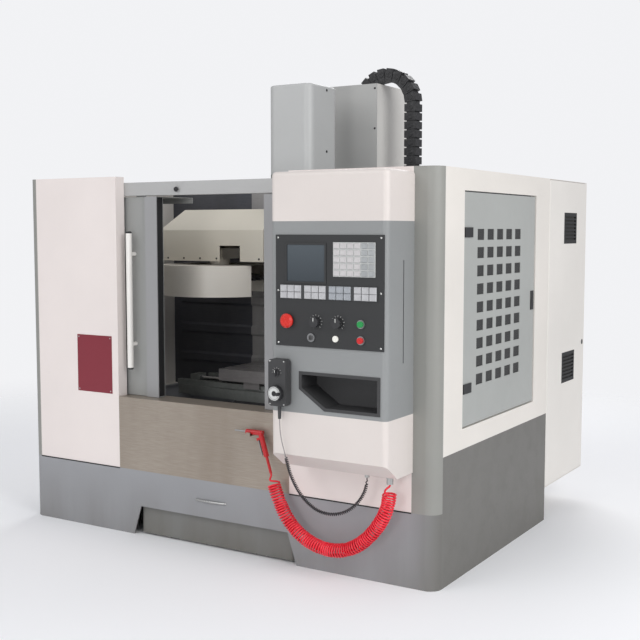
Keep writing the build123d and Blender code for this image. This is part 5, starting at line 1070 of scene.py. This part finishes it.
# Knob scales: white ink ticks printed round the two override knobs.
# Plated pan screws hold the board at its corners and half way up.
white_ink = moulded(
    "white_ink", tone(216, 216, 212), tone(234, 234, 230), scale=120.0, detail=3.0, rough=(0.6, 0.1),
    patch=(0.4, 0.7),
)
tick = template("tick", boxes(((-0.09, 0.0, 0), (0.09, 1.0, 0.06))))
board_face = -1.114
knob_places = {"feed_knob": (0.787, 1.217), "rate_knob": (0.900, 1.217)}


def ring_of_ticks(place, face, reach, count, first, last):
    """Ticks round a knob that faces the operator, from one angle to another, clockwise from the top."""
    places = []
    for k in range(count):
        angle = radians(first + (last - first) * k / (count - 1))
        point = (place[0] + reach * sin(angle), face, place[1] + reach * cos(angle))
        turn = Matrix.Rotation(angle, 3, "Y") @ Matrix.Rotation(pi / 2, 3, "X")
        places.append((point, tuple(turn.to_euler())))
    return places


knob_ticks = []
for place in knob_places.values():
    knob_ticks += ring_of_ticks(place, board_face, 0.0275, 11, -135, 135)
set_many("knob_ticks", tick, 0.0062, knob_ticks, white_ink, "frame")
board_screws = [((x, board_face, z), FORWARD) for x in (0.589, 1.112) for z in (1.117, 1.352, 1.587)]
set_many("board_screws", pan_screw, 0.0048, board_screws, plated_steel, "frame")


# Buttons: a red mushroom that stops the machine, green and red push buttons, a key switch and two knobs.
# Caps are glossy moulded plastic, pushed onto their stems; each knob has a white pointer line.
def gloss_plastic(name, colour, rough=0.24):
    return moulded(
        name, shade(colour, 0.92), colour, scale=40.0, detail=4.0, rough=(rough, 0.14), patch=(0.4, 0.75),
        Coat_Weight=0.25,
    )


wear(gloss_plastic("mushroom_red", tone(214, 44, 34)), "e_stop")
wear(gloss_plastic("button_green", tone(34, 150, 76)), "start_button")
wear(gloss_plastic("button_red", tone(206, 34, 36)), "stop_button")
wear(satin_metal("key_nickel", tone(150, 150, 150), 0.3), "key_switch")
wear(gloss_plastic("knob_black", tone(44, 44, 46), 0.36), "feed_knob", "rate_knob", "pendant_knob")
for knob, (x, z) in knob_places.items():
    pointer = [((x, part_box(knob)[0].y, z + 0.004), FORWARD)]
    set_many(knob + "_pointer", tick, 0.016, pointer, white_ink, knob)

# Handwheel pendant: a black moulded box hung on the station, with a pale hundred-part dial and a crank knob.
# Its axis selector has a white pointer and a scale of seven ticks; four plated screws close the box.
pendant_x, pendant_face, wheel_z, selector_z = 0.610, -1.161, 0.893, 0.985
dial = Finish("dial", Coat_Weight=0.2)
wheel_middle = (pendant_x, wheel_z)
dial_pale = spot(dial, "XZ", wheel_middle, 0.0315) * (1 - spot(dial, "XZ", wheel_middle, 0.012))
dial_y = dial.axis("Y")
dial_pale = dial_pale * (dial_y > -1.1862) * (dial_y < -1.1838)
dial.paint(dial_pale, tone(34, 34, 36), tone(206, 207, 205))
dial.set(Roughness=0.34 + dial.spots(180.0, 2.0) * 0.14)
wear(dial, "pendant_wheel")
dial_ticks = ring_of_ticks(wheel_middle, -1.185, 0.0245, 41, -180, 171)
set_many("dial_ticks", tick, 0.0058, dial_ticks, satin_black, "pendant_wheel")
selector_mark = [((pendant_x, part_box("pendant_knob")[0].y, selector_z + 0.002), FORWARD)]
set_many("selector_mark", tick, 0.011, selector_mark, white_ink, "pendant_knob")
pendant_ticks = ring_of_ticks((pendant_x, selector_z), pendant_face, 0.019, 7, -90, 90)
set_many("pendant_ticks", tick, 0.005, pendant_ticks, white_ink, "frame")
pendant_screws = [((x, pendant_face, z), FORWARD) for x in (0.573, 0.647) for z in (0.842, 1.036)]
set_many("pendant_screws", pan_screw, 0.0038, pendant_screws, plated_steel, "frame")

# Cord gland and hose coupler: nickel-plated brass fittings, screwed up into the station's foot.
# Each has a hexagon nut to hold it by.
wear(plated_steel, "cord_glands")
nut = turned_part("gland_nut", [(0.88, 0), (1.25, 0), (1.25, 0.55), (0.88, 0.55), (0.88, 0)], 6)
for name, size, place in (
    ("gland_nut", 0.0125, (*cord_route[-1][:2], 0.527)),
    ("coupler_nut", 0.0172, (*hose_route[0][:2], 0.524)),
):
    set_many(name, nut, size, [(place, UP)], plated_steel, "frame")

# Blow gun: red moulded body with a steel nozzle tube and a sprung steel trigger.
# It hangs on the apron's hook, at the end of the hose.
gun_red = gloss_plastic("gun_red", tone(196, 28, 34), 0.3)
nozzle_mask = gun_red.axis("X") < 0.2435
gun_red.over(nozzle_mask, tone(168, 168, 168)).set(Metallic=nozzle_mask * 0.95)
wear(gun_red, "air_gun")
wear(plated_steel, "air_gun_lever")
